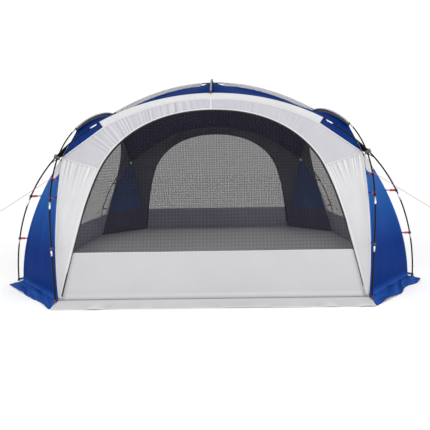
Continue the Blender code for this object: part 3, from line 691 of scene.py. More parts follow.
def wall_panel(seed):
    """The left side panel of the front wall, from the leg edge at 0 to the zip at 1."""
    v, u = steps(WALL_ROWS)[:, None], steps(WALL_COLUMNS)[None, :]
    edge = leg_edge(mix(FLOOR_CLOTH, HUB_CORNER_HEIGHT, v[:, 0]))[:, None, :]
    leg = zip_leg(mix(FLOOR_CLOTH / ZIP_SHOULDER, 1.0, v[:, 0]))[:, None, :]
    below = (1 - v) * HUB_CORNER_HEIGHT
    across = u + 0.25 * below * wave(u * 3, seed)
    gathers = folds(across, GATHERS, GATHER_DEPTH, seed + 1)
    gathers = gathers + folds(across, BROAD_GATHERS, BROAD_DEPTH, seed + 2)
    length = GATHER_LENGTH + GATHER_SPREAD * wave(across * 23, seed + 5)
    gathers = gathers * np.exp(-(below / length) ** 2) * fade(below, 0.002, 0.025)
    slack = WALL_SLACK * waves(u * 2.2 + 1.5 * v, v * 3.0, seed + 3)
    pulls = folds(u - 0.6 * v, 6, WALL_PULL, seed + 4) * fade(v, 0.25, 0.7)
    inside = fade(u, 0, 0.12) * fade(1 - u, 0, 0.1) * fade(v, 0, 0.05)
    shift = (gathers + (slack + pulls) * fade(1 - v, 0, 0.08)) * inside
    return push(mix(edge, leg, u[..., None]), shift)


def ground_flap(foot, width, seed):
    """The flap from the wall's foot out over the floor, rippled at its free edge."""
    w = np.linspace(1, 0, SKIRT_ROWS + 1)[:, None]
    hem = point(foot[:, 0] * SKIRT_TAPER, -TENT_HALF - width, FLOOR_CLOTH)
    grid = mix(foot[None], hem[None], w[..., None])
    x, play = grid[..., 0], 1 if width > 0.1 else 0.2
    grid[..., 2] += SKIRT_RIPPLE * np.maximum(0, wave(x * 8, seed) + 0.15) * fade(w, 0.15, 1.0)
    grid[..., 1] += SKIRT_RIPPLE * wave(x * 3.3, seed + 1) * fade(w, 0.3, 1.0) * play
    return grid


for number, (side, where) in enumerate(SIDES.items()):
    seed = 100 + 20 * number
    panel = wall_panel(seed)
    other = wall_panel(seed + 10)[:, ::-1] * (-1, 1, 1)
    threshold = mix(panel[0, -1][None], other[0, 0][None], steps(THRESHOLD_COLUMNS)[:, None])[1:-1]
    foot = np.vstack([panel[0], threshold, other[0]])
    CUT[side] = {"left": panel, "right": other}
    flap = ground_flap(foot, FRONT_SKIRT if side in ("front", "back") else SIDE_SKIRT, seed + 5)
    node = f"wall_{side}"
    cuts = [sew(f"ground_flap_{side}", flap, where, FLAP, WHITE_INSIDE, node,
                outward=Vector((0, 0, 1)))]
    for hand, grid in CUT[side].items():
        cuts.append(sew(f"side_panel_{side}_{hand}", grid, where, WHITE, WHITE_INSIDE, node))
    print(side, "flap and panels, width, length and area:", cuts)

# %% [markdown]
# ## Brows
# The brow is the white band between a zip and the roof. It is cut in two halves that meet in a
# seam over the door, and its left half has worked loose into folds that run across the band.

# %% Brows
BROW_COLUMNS, BROW_ROWS = 230, 9
NARROW_FOLD, BROAD_FOLD, BROW_SLACK = 0.0058, 0.0040, 0.005  # depths in metres


def brow_half(seed, loose):
    """The left half of a brow, from the hub corner at 0 to the middle at 1."""
    t, w = steps(BROW_COLUMNS)[None, :], steps(BROW_ROWS)[:, None]
    grid = mix(zip_crown(t[0])[None], roof_seam(t[0])[None], w[..., None])
    lean = t + 0.030 * w
    narrow = wave(lean * 86, seed + 1) + 0.5 * wave(lean * 40, seed + 2)
    patches = 0.25 + 0.75 * np.abs(wave(t * 9, seed + 5))
    creases = NARROW_FOLD * narrow * patches + folds(lean, 24, BROAD_FOLD, seed + 3)
    slack = BROW_SLACK * waves(t * 5, w * 2 + t, seed + 4)
    shift = loose * fade(t, 0.12, 0.24) * creases + slack
    held = fade(w, 0, 0.15) * fade(1 - w, 0, 0.10) * fade(t, 0, 0.06) * fade(1 - t, -0.01, 0.03)
    return push(grid, shift * held)


for number, (side, where) in enumerate(SIDES.items()):
    seed = 300 + 20 * number
    other = brow_half(seed + 10, 0.25)[:, ::-1] * (-1, 1, 1)
    CUT[side]["brow"] = np.concatenate([brow_half(seed, 1.0), other[:, 1:]], axis=1)
    print(side, "brow:", sew(f"brow_cloth_{side}", CUT[side]["brow"], where, BROW, WHITE_INSIDE,
                             f"brow_{side}"))

# %% [markdown]
# ## The roof
# Four blue gores meet on the two ridges and hang from the sleeves. Each is bounded by four seams.
# Taut cloth between fixed seams takes the shape of a soap film: every point lies level among its
# neighbours. So the grid starts as a plain blend of its edges, called a Coons patch, and then each
# inner point moves to the middle of its four neighbours, again and again, until nothing changes.

# %% Roof gores
GORE_STEPS, RELAX_ROUNDS = 44, 3000
ROOF_PULL, ROOF_SLACK = 0.005, 0.004


def seam_place(k):
    """How far along the roof seam a station is, counted from the top at 0 to the hub at 1."""
    m = (1 - np.asarray(k)) * (SLEEVE_STEPS + CORNER_STEPS)
    outer = SLEEVE_END * m / CORNER_STEPS
    inner = SLEEVE_END + (1 - SLEEVE_END) * (m - CORNER_STEPS) / SLEEVE_STEPS
    return np.where(m < CORNER_STEPS, outer, inner)


def taut_gore():
    s = steps(GORE_STEPS)
    out = RIDGE_END * s
    ridge = point(0 * s, -out, ridge_height(out))
    edge = roof_seam(seam_place(s))
    ridge_x, edge_y = ridge[:, TO_LEFT], edge[:, TO_LEFT]
    u, v = s[:, None, None], s[None, :, None]
    flat = mix(mix(ridge[0], edge[0], v), mix(edge_y[0], edge[-1], v), u)
    grid = mix(ridge_x[:, None], edge[:, None], v) + mix(ridge[None], edge_y[None], u) - flat
    for _ in range(RELAX_ROUNDS):
        grid[1:-1, 1:-1] = (grid[:-2, 1:-1] + grid[2:, 1:-1] + grid[1:-1, :-2] + grid[1:-1, 2:]) / 4
    return grid


TAUT_GORE = taut_gore()


def roof_gore(seed):
    u, v = steps(GORE_STEPS)[:, None], steps(GORE_STEPS)[None, :]
    inside = fade(u, 0, 0.1) * fade(v, 0, 0.1) * fade(1 - u, 0, 0.1) * fade(1 - v, 0, 0.1)
    pulls = folds(u - v, 9, ROOF_PULL, seed) * fade(u + v, 0.5, 1.6)
    grid = TAUT_GORE.copy()
    grid[..., 2] += (pulls + ROOF_SLACK * waves(u * 4, v * 4, seed + 1)) * inside
    return grid


for number, (corner, place) in enumerate(CORNERS.items()):
    CUT[f"roof_{corner}"] = roof_gore(500 + 10 * number)
    print(corner, "gore:", sew(f"roof_cloth_{corner}", CUT[f"roof_{corner}"], place, ROOF, ROOF_INSIDE,
                               f"roof_gore_{corner}"))

# %% [markdown]
# ## Corner panels
# Between the two legs of a corner hangs a blue panel. It narrows upwards to the hub, and at the
# bottom it runs out over the ground in a loose flap with two long tips.

# %% Corner panels
PANEL_ROWS, PANEL_COLUMNS, FLAP_ROWS = 44, 44, 16
PANEL_TOP = 0.030  # how far below the hub corner the panel ends
PANEL_PULL, PANEL_CREASE, PANEL_SLACK = 0.005, 0.003, 0.010
FLAP_WAVE, FLAP_FOLD, FLAP_CREASE, FLAP_SWING = 0.020, 0.014, 0.008, 0.020


def panel_part(seed):
    """The upright part of a corner panel, with its wrinkles."""
    heights = mix(FLOOR_CLOTH, HUB_CORNER_HEIGHT - PANEL_TOP, steps(PANEL_ROWS))
    u, v = steps(PANEL_COLUMNS)[None, :], (heights / HUB_CORNER_HEIGHT)[:, None]
    edge = leg_edge(heights)[:, None]
    inside = fade(u, 0, 0.12) * fade(1 - u, 0, 0.12) * fade(v, 0.0, 0.06) * fade(1 - v, 0.02, 0.12)
    pulls = PANEL_PULL * wave((u - 0.5) * 5 / (1.05 - 0.8 * v), seed)
    pulls = pulls + PANEL_CREASE * wave(u * 9 + 2 * v, seed + 1)
    slack = PANEL_SLACK * waves(u * 2, v * 4, seed + 2)
    return push(mix(edge, edge[..., TO_LEFT], u[..., None]), (pulls + slack) * inside)


def corner_cloth(seed):
    """A corner panel with its flap on the ground, from the flap's free edge upwards."""
    panel = panel_part(seed)
    u, w = steps(PANEL_COLUMNS), np.linspace(1, 0, FLAP_ROWS + 1)[:, None]
    front, side = (point(*tip, FLOOR_CLOTH) for tip in (CORNER_FLAP_FRONT, CORNER_FLAP_SIDE))
    flap = mix(panel[0][None], mix(front, side, u[:, None])[None], w[..., None])
    along = u[None, :] * 0.9
    lift = FLAP_WAVE * np.maximum(0, waves(along * 7, w * 2.5, seed + 3))
    lift += FLAP_FOLD * np.maximum(0, wave(along * 15 + w * 4, seed + 4)) ** 1.5
    lift += FLAP_CREASE * np.maximum(0, wave(along * 31 - w * 5, seed + 6))
    flap[..., 2] += lift * fade(w, 0.02, 0.35)
    inward = unit(np.array([1.0, 1.0, 0.0]))
    flap += (folds(along, 5, FLAP_SWING, seed + 5) * fade(w, 0.2, 1))[..., None] * inward
    return np.concatenate([flap, panel[1:]], axis=0)


for number, (corner, place) in enumerate(CORNERS.items()):
    CUT[corner] = corner_cloth(700 + 10 * number)
    print(corner, "panel:", sew(f"corner_cloth_{corner}", CUT[corner], place, BLUE, BLUE_INSIDE,
                                f"corner_{corner}"))

# %% [markdown]
# ## Doors
# A door fills the arch inside its zip. Its lower part is closed white cloth, and the net is sewn
# to it just above knee height.

# %% Doors
DOOR_COLUMNS, PANEL_DOOR_ROWS, NET_ROWS = 60, 26, 60
DOOR_SLACK, NET_THICK, NARROWEST = 0.0050, 0.0006, 0.012
DOOR_PLAY = 0.002  # the door ends this far from the ground and from the zip's crown


def door_outline(height):
    """Half the door's width at a height."""
    t = np.linspace(0, 1, 200)
    line = np.concatenate([zip_leg(t), zip_crown(t)[1:]])
    return np.interp(height, line[:, 2], -line[:, 0])


def door_grid(low, high, rows, seed):
    """Part of the door between two heights. It ends just inside the zip."""
    v = steps(rows)
    if high > ZIP_SHOULDER:
        v = 1 - (1 - v) ** 1.8  # closer rows under the crown
    heights = mix(low, high, v)[:, None]
    u = np.linspace(-1, 1, DOOR_COLUMNS + 1)[None, :]
    half = np.maximum(door_outline(heights), NARROWEST)
    grid = in_door_plane(half * u, heights + 0 * u)
    inside = fade(1 - abs(u), 0, 0.08) * fade(heights, 0.0, 0.12) * fade(ZIP_CROWN - heights, 0, 0.15)
    soft = waves(u * 3.0, heights * 2.5, seed) + 0.35 * wave(u * 7 + heights * 5, seed + 1)
    return push(grid, DOOR_SLACK * soft * inside)


for number, (side, where) in enumerate(SIDES.items()):
    seed = 900 + 10 * number
    low = CUT[side]["door"] = door_grid(DOOR_PLAY, DOOR_PANEL_TOP, PANEL_DOOR_ROWS, seed)
    net = door_grid(DOOR_PANEL_TOP, ZIP_CROWN - DOOR_PLAY, NET_ROWS, seed)
    mesh_cloth = FRONT_NET if side == "front" else NET
    node, held_by = f"door_{side}", [f"wall_{side}"]
    print(side, "door:", sew(f"door_panel_{side}", low, where, DOOR_PANEL, DOOR_PANEL_INSIDE, node),
          "net:", sew(f"door_netting_{side}", net, where, mesh_cloth, mesh_cloth, node,
                      thick=NET_THICK))

# %% [markdown]
# ## Paths that grow into rods, and things in a row
# Much of a tent follows a line: poles, cords, zip teeth. Geometry Nodes suit this well. The first
# tree takes a path of edges and sweeps a circle along it, and sets a metal ferrule round it at
# each marked point, where two sections of a pole are joined. The second tree sets one small block
# after another along a path. Both end with real geometry and their materials.

# %% Tree helpers
MARK = "ferrule"


def path_object(name, lines, marked=()):
    """A mesh of edges only: the lines that a tree follows. Some of its points may be marked."""
    mesh = bpy.data.meshes.new(name)
    points, edges = [], []
    for line in lines:
        edges += [(len(points) + i, len(points) + i + 1) for i in range(len(line) - 1)]
        points += [tuple(map(float, p)) for p in line]
    mesh.from_pydata(points, edges, [])
    flags = mesh.attributes.new(MARK, "BOOLEAN", "POINT")
    for number in marked:
        flags.data[number].value = True
    return new_object(name, mesh)


def new_tree(name, inputs):
    """A tree with these inputs, what it is given, and the curve along the path that comes in."""
    tree = bpy.data.node_groups.new(name, "GeometryNodeTree")
    for way in ("INPUT", "OUTPUT"):
        tree.interface.new_socket("Geometry", in_out=way, socket_type="NodeSocketGeometry")
    for label, (kind, value) in inputs.items():
        socket = tree.interface.new_socket(label, in_out="INPUT", socket_type=f"NodeSocket{kind}")
        if value is not None:
            socket.default_value = value
    given = add_node(tree, "NodeGroupInput")
    return tree, given, add_node(tree, "GeometryNodeMeshToCurve", {"Mesh": given["Geometry"]})["Curve"]


def sweep(tree, curve, profile, material):
    """A profile carried along a curve, closed at its ends."""
    tube = add_node(tree, "GeometryNodeCurveToMesh", {
        "Curve": curve, "Profile Curve": profile, "Fill Caps": True})["Mesh"]
    return painted(tree, tube, material)


def painted(tree, geometry, material):
    return add_node(tree, "GeometryNodeSetMaterial", {"Geometry": geometry, "Material": material})["Geometry"]


def set_at(tree, spots, thing, **chosen):
    """The thing at every spot, or at the chosen ones, as real geometry."""
    placed = add_node(tree, "GeometryNodeInstanceOnPoints", {
        "Points": spots["Points"], "Rotation": spots["Rotation"], "Instance": thing, **chosen})
    return add_node(tree, "GeometryNodeRealizeInstances", {"Geometry": placed["Instances"]})["Geometry"]


def close_tree(tree, geometry):
    join(tree, tree.nodes.new("NodeGroupOutput"), {"Geometry": geometry})
    print("tree", tree.name, "has", len(tree.nodes), "nodes")


def grow(obj, tree, **settings):
    """Runs a tree on an object with these inputs, and leaves the plain mesh that it makes."""
    modifier = obj.modifiers.new("grow", "NODES")
    modifier.node_group = tree
    sockets = {item.name: item.identifier for item in tree.interface.items_tree if item.in_out == "INPUT"}
    for label, value in settings.items():
        modifier[sockets[label.replace("_", " ")]] = value
    return finish_mesh(obj)


print("points are marked as", MARK)

# %% The rod tree
ROD, given, line = new_tree("rod along a path", {
    "Radius": ("Float", 0.006), "Sides": ("Int", 12), "Ferrule Radius": ("Float", 0.007),
    "Ferrule Length": ("Float", 0.07), "Rod Material": ("Material", None),
    "Ferrule Material": ("Material", None)})
ring = add_node(ROD, "GeometryNodeCurvePrimitiveCircle", {
    "Resolution": given["Sides"], "Radius": given["Radius"]})
pole = sweep(ROD, line, ring["Curve"], given["Rod Material"])
spots = add_node(ROD, "GeometryNodeCurveToPoints", {"Curve": line}, mode="EVALUATED")
marked = add_node(ROD, "GeometryNodeInputNamedAttribute", {"Name": MARK}, data_type="BOOLEAN")
collar = add_node(ROD, "GeometryNodeMeshCylinder", {
    "Vertices": given["Sides"], "Radius": given["Ferrule Radius"], "Depth": given["Ferrule Length"]})
metal = painted(ROD, collar["Mesh"], given["Ferrule Material"])
both = add_node(ROD, "GeometryNodeJoinGeometry", {"Geometry": pole})["Geometry"]
join(ROD, both.node, {"Geometry": set_at(ROD, spots, metal, Selection=marked["Attribute"])})
close_tree(ROD, add_node(ROD, "GeometryNodeSetShadeSmooth", {"Geometry": both})["Geometry"])

# %% [markdown]
# ## Rod, metal and moulded materials
# The poles are black glass-fibre rod with bright metal ferrules. The knobs are grey moulded
# plastic, and the clips red. Rod and plastic get fine noise in their roughness, so that they don't
# shine evenly, and the metal gets drawn lines along it.

# %% Hard materials
GRAIN_GLOSS, GRAIN_DEPTH, GRAIN_SHADE = 0.08, 0.0003, 0.82


def moulded(name, colour, roughness, metallic=0.0, scale=60.0, stretch=(1, 1, 1), bump=0.05, shine=0.5):
    """Plastic or metal with slight changes of gloss and a fine grain."""
    made, tree, shader = plain_material(name, colour, roughness, shine, metallic)
    place = add_node(tree, "ShaderNodeTexCoord")["Object"]
    turned = add_node(tree, "ShaderNodeMapping", {"Vector": place, "Scale": stretch})["Vector"]
    grain = add_node(tree, "ShaderNodeTexNoise", {"Vector": turned, "Scale": scale, "Detail": 3.0})["Fac"]
    raised = add_node(tree, "ShaderNodeBump", {"Strength": bump, "Distance": GRAIN_DEPTH, "Height": grain})
    join(tree, shader, {
        "Base Color": add_ramp(tree, grain, ((0.0, [GRAIN_SHADE * c for c in colour]), (1.0, colour))),
        "Roughness": change_of_gloss(tree, grain, roughness, GRAIN_GLOSS), "Normal": raised["Normal"]})
    return made


WEB_GRAIN = {"scale": 700.0, "bump": 0.3}
ROD_BLACK = moulded("black glass fibre", (0.0045, 0.0045, 0.005), 0.40, shine=0.12)
FERRULE = moulded("drawn metal", (0.72, 0.73, 0.75), 0.26, metallic=1.0, scale=220.0, stretch=(1, 1, 0.06))
KNOB_GREY = moulded("grey moulded plastic", (0.085, 0.090, 0.094), 0.45, shine=0.25)
KNOB_DARK = moulded("dark grey moulded plastic", (0.020, 0.020, 0.022), 0.45, shine=0.2)
RING_BLACK = moulded("black moulded plastic", (0.018, 0.018, 0.020), 0.45)
CLIP_RED = moulded("red moulded plastic", (0.58, 0.012, 0.022), 0.38)
BLUE_WEB = moulded("blue webbing", (0.008, 0.040, 0.200), 0.7, **WEB_GRAIN, shine=0.1)
GREY_WEB = moulded("light grey webbing", (0.42, 0.42, 0.44), 0.7, **WEB_GRAIN)
BLACK_WEB = moulded("black webbing", (0.003, 0.003, 0.0035), 0.75, **WEB_GRAIN, shine=0.05)
print("hard materials ready")

# %% [markdown]
# ## Poles
# Each arch pole is one long half ellipse, and it passes its partner at a hub, one a little outside
# the other. The two roof poles cross at the top.

# %% Poles
ARCH_POINTS, ROOF_POINTS, POLE_SIDES = 145, 49, 14
FOOT_RISE = 0.00026  # keeps the rim of a leaning pole's end off the floor
FERRULE_RADIUS, FERRULE_LENGTH = 0.0068, 0.066
ARCH_JOINTS, ROOF_JOINTS = (0.395, 0.780, 1.705, 2.150), (0.30, 0.70)  # from each end


def distances(line):
    """How far along a line each of its points is."""
    return np.concatenate([[0], np.cumsum(lengths(line, 0))])


def make_pole(name, run, values, node, joints):
    """A pole along run(values), with ferrules at these distances from each of its ends."""
    far = distances(run(values))
    extra = np.interp(np.concatenate([joints, far[-1] - np.asarray(joints)]), far, values)
    values = np.sort(np.concatenate([values, extra]))
    line = run(values)
    line[[0, -1], 2] += FOOT_RISE
    rod = path_object(name, [line], np.searchsorted(values, extra))
    grow(rod, ROD, Radius=POLE / 2, Sides=POLE_SIDES, Ferrule_Radius=FERRULE_RADIUS,
         Ferrule_Length=FERRULE_LENGTH, Rod_Material=ROD_BLACK, Ferrule_Material=FERRULE)
    dress(rod, node)
    print(name, round(float(far[-1]), 2), "m long,", len(rod.data.polygons), "faces")


for side, where in SIDES.items():
    make_pole(f"pole_{side}", lambda a, w=where, s=side: w(arch_point(a, side_lift(s))),
              np.linspace(0, math.pi, ARCH_POINTS), f"arch_pole_{side}", ARCH_JOINTS)
reach = ARCH_TOP_DEPTH + ROOF_POLE_OVERHANG
reach = np.linspace(-reach, reach, ROOF_POINTS)
make_pole("pole_over_left_right", lambda x: point(x, 0 * x, roof_pole_height(abs(x), APEX_HEIGHT)), reach,
          "roof_pole_left_right", ROOF_JOINTS)
make_pole("pole_over_front_back", lambda y: point(0 * y, y, roof_pole_height(abs(y), LOWER_APEX)), reach,
          "roof_pole_front_back", ROOF_JOINTS)

# %% [markdown]
# ## Sleeves
# The roof hangs from the poles in sleeves: a tall flat web of cloth with a hem at its top that the
# pole is pushed through. Two of the sleeves over the ridges are gathered into tight ruffles.

# %% Sleeves
HALF_ARCH, WEB_ROWS = 61, 8
HEM_ANGLES = np.radians(np.linspace(82, 318, 15))  # how far the hem goes round its pole
RUFFLE_LENGTH, FINE_RUFFLE = 0.021, 0.011
ARCH_RUFFLE, ARCH_AHEAD = 0.0016, 0.004
RIDGE_KINDS = {"front": (61, LOWER_APEX, 0.0008, GREY_SLEEVE), "left": (161, APEX_HEIGHT, 0.0034, SLEEVE)}
RIDGE_KINDS["back"], RIDGE_KINDS["right"] = RIDGE_KINDS["front"], RIDGE_KINDS["left"]


def sleeve_grid(centres, along, seam, ruffle, seed):
    """Rows along the pole. Each runs up the web from the seam and round the pole."""
    along = unit(along)
    down = seam - centres
    down = unit(down - (down * along).sum(axis=-1, keepdims=True) * along)
    outward = -np.cross(along, down)
    turn = HEM_ANGLES[None, :, None]
    hem = centres[:, None] + HEM_RADIUS * (np.cos(turn) * down[:, None] + np.sin(turn) * outward[:, None])
    web = mix(seam[:, None], hem[:, :1], steps(WEB_ROWS)[None, :-1, None])
    grid = np.concatenate([web, hem], axis=1)
    far, place = distances(centres)[:, None], np.linspace(0, 1, grid.shape[1])[None, :]
    shift = ruffle * (wave(far / RUFFLE_LENGTH + place, seed) + 0.6 * wave(far / FINE_RUFFLE, seed + 1))
    loose = fade(place, 0.0, 0.12) * fade(1 - place, 0.55, 0.75)
    return grid + (shift * loose)[..., None] * outward[:, None]


for number, (side, where) in enumerate(SIDES.items()):
    t = np.linspace(SLEEVE_END, 1.0, HALF_ARCH)
    t = np.concatenate([t, t[-2::-1]])
    angle, seam = sleeve_angle(t), roof_seam(t)
    angle[HALF_ARCH:] = math.pi - angle[HALF_ARCH:]
    seam[HALF_ARCH:, 0] *= -1
    centres, ahead_of = (arch_point(angle + turn, side_lift(side)) for turn in (0, ARCH_AHEAD))
    grid = sleeve_grid(centres, ahead_of - centres, seam, ARCH_RUFFLE, 1100 + 10 * number)
    print(side, "arch sleeve:", sew(f"arch_hem_{side}", grid, where, SLEEVE, WHITE_INSIDE,
                                    f"arch_sleeve_{side}"))
    count, top, ruffle, cloth = RIDGE_KINDS[side]
    out = np.linspace(APEX_BARE, ARCH_TOP_DEPTH - 2.5 * HEM_RADIUS, count)
    centres = point(0 * out, -out, roof_pole_height(out, top))
    seam = point(0 * out, -out, ridge_height(out) + CLOTH)
    grid = sleeve_grid(centres, np.gradient(centres, axis=0), seam, ruffle, 1200 + 10 * number)
    print(side, "ridge sleeve:", sew(f"ridge_hem_{side}", grid, where, cloth, cloth,
                                     f"ridge_sleeve_{side}"))

# %% [markdown]
# ## Zips
# A coil zip runs all round each door. Its tape is black. The tape is swept along the zip's line as
# a flat strip with a raised spine, and the second tree sets the coil's teeth along the spine.

# %% The tree for things in a row
ROW, given, line = new_tree("blocks along a path", {
    "Pitch": ("Float", 0.01), "Size": ("Vector", (0.002, 0.002, 0.004)), "Material": ("Material", None)})
spots = add_node(ROW, "GeometryNodeCurveToPoints", {"Curve": line, "Length": given["Pitch"]}, mode="LENGTH")
block = add_node(ROW, "GeometryNodeMeshCube", {"Size": given["Size"]})
close_tree(ROW, painted(ROW, set_at(ROW, spots, block["Mesh"]), given["Material"]))

# %% Zips
DOOR_NORMAL = unit(np.array([0.0, -1.0, -WALL_LEAN]))
ZIP_ENDS = (0.030, 0.085)  # heights of the zip's two ends
ZIP_TAPE = moulded("black zip tape", (0.014, 0.014, 0.015), 0.7, scale=400.0, bump=0.2)
ZIP_TEETH = moulded("black coil", (0.022, 0.022, 0.024), 0.35)
# the tape's section: across and out
TAPE_SECTION = [(-0.0075, -0.0014), (0.0075, -0.0014), (0.0075, 0.0014), (0.0028, 0.0018),
                (0.0016, 0.0030), (-0.0016, 0.0030), (-0.0028, 0.0018), (-0.0075, 0.0014)]
COIL_OUT, TOOTH_PITCH, TOOTH_SIZE = 0.0026, 0.0055, (0.0048, 0.0026, 0.0026)


def add_shell(bm, rings, number=0, hollow=False):
    """Adds the skin over closed rings of points, with its two ends or, if hollow, a bore."""
    rings = [[bm.verts.new(p) for p in ring] for ring in rings]
    count = len(rings[0])
    pairs = list(zip(rings, rings[1:])) + ([(rings[-1], rings[0])] if hollow else [])
    faces = [bm.faces.new((a[k], a[(k + 1) % count], b[(k + 1) % count], b[k]))
             for a, b in pairs for k in range(count)]
    if not hollow:
        faces += [bm.faces.new(rings[0][::-1]), bm.faces.new(rings[-1])]
    for face in faces:
        face.material_index = number


def zip_tape(name, line, normal):
    across = unit(np.cross(unit(np.gradient(line, axis=0)), normal))
    bm = bmesh.new()
    add_shell(bm, np.stack([line + a * across + b * normal for a, b in TAPE_SECTION], axis=1))
    bmesh.ops.recalc_face_normals(bm, faces=bm.faces)
    return new_object(name, mesh_from(bm, name, [ZIP_TAPE], smooth=False))


def zip_line():
    """The whole zip, from its left end to its right end, as seen from the front."""
    left = zip_leg(np.linspace(ZIP_ENDS[0] / ZIP_SHOULDER, 1, 60))
    crown = zip_crown(np.linspace(0, 1, 70))[1:]
    right_leg = zip_leg(np.linspace(1, ZIP_ENDS[1] / ZIP_SHOULDER, 60))[1:]
    other = np.concatenate([crown[-2::-1], left[-1:], right_leg])
    return np.concatenate([left, crown, other * (-1, 1, 1)])


for side, where in SIDES.items():
    line, normal = where(zip_line()), where(DOOR_NORMAL)
    dress(zip_tape(f"zip_tape_{side}", line, normal))
    teeth = path_object(f"zip_coil_{side}", [line + COIL_OUT * normal])
    grow(teeth, ROW, Pitch=TOOTH_PITCH, Size=TOOTH_SIZE, Material=ZIP_TEETH)
    dress(teeth)
    print(side, "zip:", len(teeth.data.polygons) // 6, "teeth")

# %% [markdown]
# ## Bindings, seams and stitches
# Cut edges and seams on a tent are folded over and covered with a narrow strip, then stitched
# along both edges. A strip could be projected onto its panel with a Shrinkwrap modifier. Here each
# panel is already a grid, so the strip's points are read straight from it, at a set distance from
# one edge, and lifted by the cloth's thickness. The tree for rows then sews the stitches.

# %% Reading strips from a panel
STRIP = 0.0008  # thickness of a binding or webbing
STRIP_RISE = CLOTH / 2 + 0.0002
UP = np.array([0.0, 0.0, 1.0])


def on_sheet(grid, rows, columns, lift=STRIP_RISE, facing=None):
    """Points just off a panel's outer face at these rows and columns, and the normals there."""
    normals = surface_normals(grid)
    if (normals * (grid - CENTRE if facing is None else facing)).sum() < 0:
        normals = -normals
    rows, columns = np.broadcast_arrays(np.asarray(rows, float), np.asarray(columns, float))
    i = np.clip(rows.astype(int), 0, grid.shape[0] - 2)
    j = np.clip(columns.astype(int), 0, grid.shape[1] - 2)
    a, b = (rows - i)[..., None], (columns - j)[..., None]

    def blend(field):
        return mix(mix(field[i, j], field[i + 1, j], a), mix(field[i, j + 1], field[i + 1, j + 1], a), b)

    out = unit(blend(normals))
    return blend(grid) + lift * out, out


def beside(grid, edge, places, start=0.0, stop=1.0, count=90, **settings):
    """A strip along one edge of a panel, at these distances in from it."""
    turned = {"left": grid, "right": grid[:, ::-1], "bottom": grid.swapaxes(0, 1),
              "top": grid[::-1].swapaxes(0, 1)}[edge]
    far = np.hstack([np.zeros((len(turned), 1)), np.cumsum(lengths(turned, 1), axis=1)])
    rows, columns = np.linspace(start, stop, count) * (len(turned) - 1), []
    for row in rows:
        low = min(int(row), len(far) - 2)
        columns.append(np.interp(places, mix(far[low], far[low + 1], row - low), np.arange(far.shape[1])))
    return on_sheet(turned, rows[:, None], np.array(columns), **settings)


print("a strip is", STRIP * 1000, "mm thick")

# %% Making strips and stitches
SHARP = math.radians(38)  # edges sharper than this stay sharp in the shading
STITCH_PITCH, STITCH_SIZE, STITCH_IN = 0.0130, (0.0009, 0.0007, 0.0085), 0.2
FINE_TAPE, THREAD_GRAIN = {"weave": FINE_WEAVE, "bump": 0.2}, {"scale": 900.0, "bump": 0.3}
BINDING = woven("white binding tape", (0.60, 0.60, 0.61), (0.57, 0.57, 0.58), 0.66, **FINE_TAPE)
DOOR_TRIM = woven("white door trim", (0.470, 0.470, 0.478), (0.445, 0.445, 0.452), 0.66, **FINE_TAPE)
BLUE_TAPE = woven("blue binding tape", (0.028, 0.125, 0.420), (0.022, 0.105, 0.370), 0.6, shine=0.04,
                  sheen=0.0, **FINE_TAPE)
WHITE_THREAD = moulded("white thread", (0.62, 0.62, 0.64), 0.7, **THREAD_GRAIN)
BLUE_THREAD = moulded("blue thread", (0.012, 0.050, 0.220), 0.7, **THREAD_GRAIN)


LIST_WAY = Vector((0.2713, 0.5381, 0.7979))  # slanted, so that hardly two points are level on it


def shell_object(name, bm, materials, where):
    """A finished object from closed shells: placed, turned outwards and shaded with its edges kept.
    A bevel may list what it makes in another order each run, so points and faces are sorted."""
    for vert in bm.verts:
        vert.co = Vector(where(np.array(vert.co)))
    bm.verts.sort(key=lambda vert: vert.co @ LIST_WAY)
    bm.faces.sort(key=lambda face: face.calc_center_median() @ LIST_WAY)
    bmesh.ops.recalc_face_normals(bm, faces=bm.faces)
    mesh = mesh_from(bm, name, materials)
    mesh.set_sharp_from_angle(angle=SHARP)
    return new_object(name, mesh)


def sewn_strips(name, runs, cloth, thread, where, node=None):
    """Strips, each a grid of points and their normals, with stitches along both of their edges."""
    bm = bmesh.new()
    for grid, out in runs:
        shell = np.concatenate([grid + STRIP * out, grid[:, ::-1]], axis=1)
        rings = add_quads(bm, shell, cloth_uv(shell), closed=True)
        bm.faces.new(rings[0][::-1])
        bm.faces.new(rings[-1])
    dress(shell_object(name, bm, [cloth], where), node)
    lines = [where(mix(grid[:, k], grid[:, m], STITCH_IN) + (STRIP + 0.0001) * out[:, k])
             for grid, out in runs for k, m in ((0, -1), (-1, 0))]
    sewn = path_object(f"{name}_stitches", lines)
    dress(grow(sewn, ROW, Pitch=STITCH_PITCH, Size=STITCH_SIZE, Material=thread))
    print(name, len(runs), "strips,", len(sewn.data.polygons) // 6, "stitches")


print("a stitch every", STITCH_PITCH * 1000, "mm")

# %% Seams and bindings of the white cloth
ZIP_SIDE = np.linspace(0.0092, 0.0200, 3)  # the binding just outside the zip, in from the panel's edge
NARROW = np.linspace(0.0010, 0.0085, 3)
SEAM_HALF = np.linspace(-0.006, 0.006, 3)
DOOR_FOOT = np.linspace(0.018, 0.044, 3)

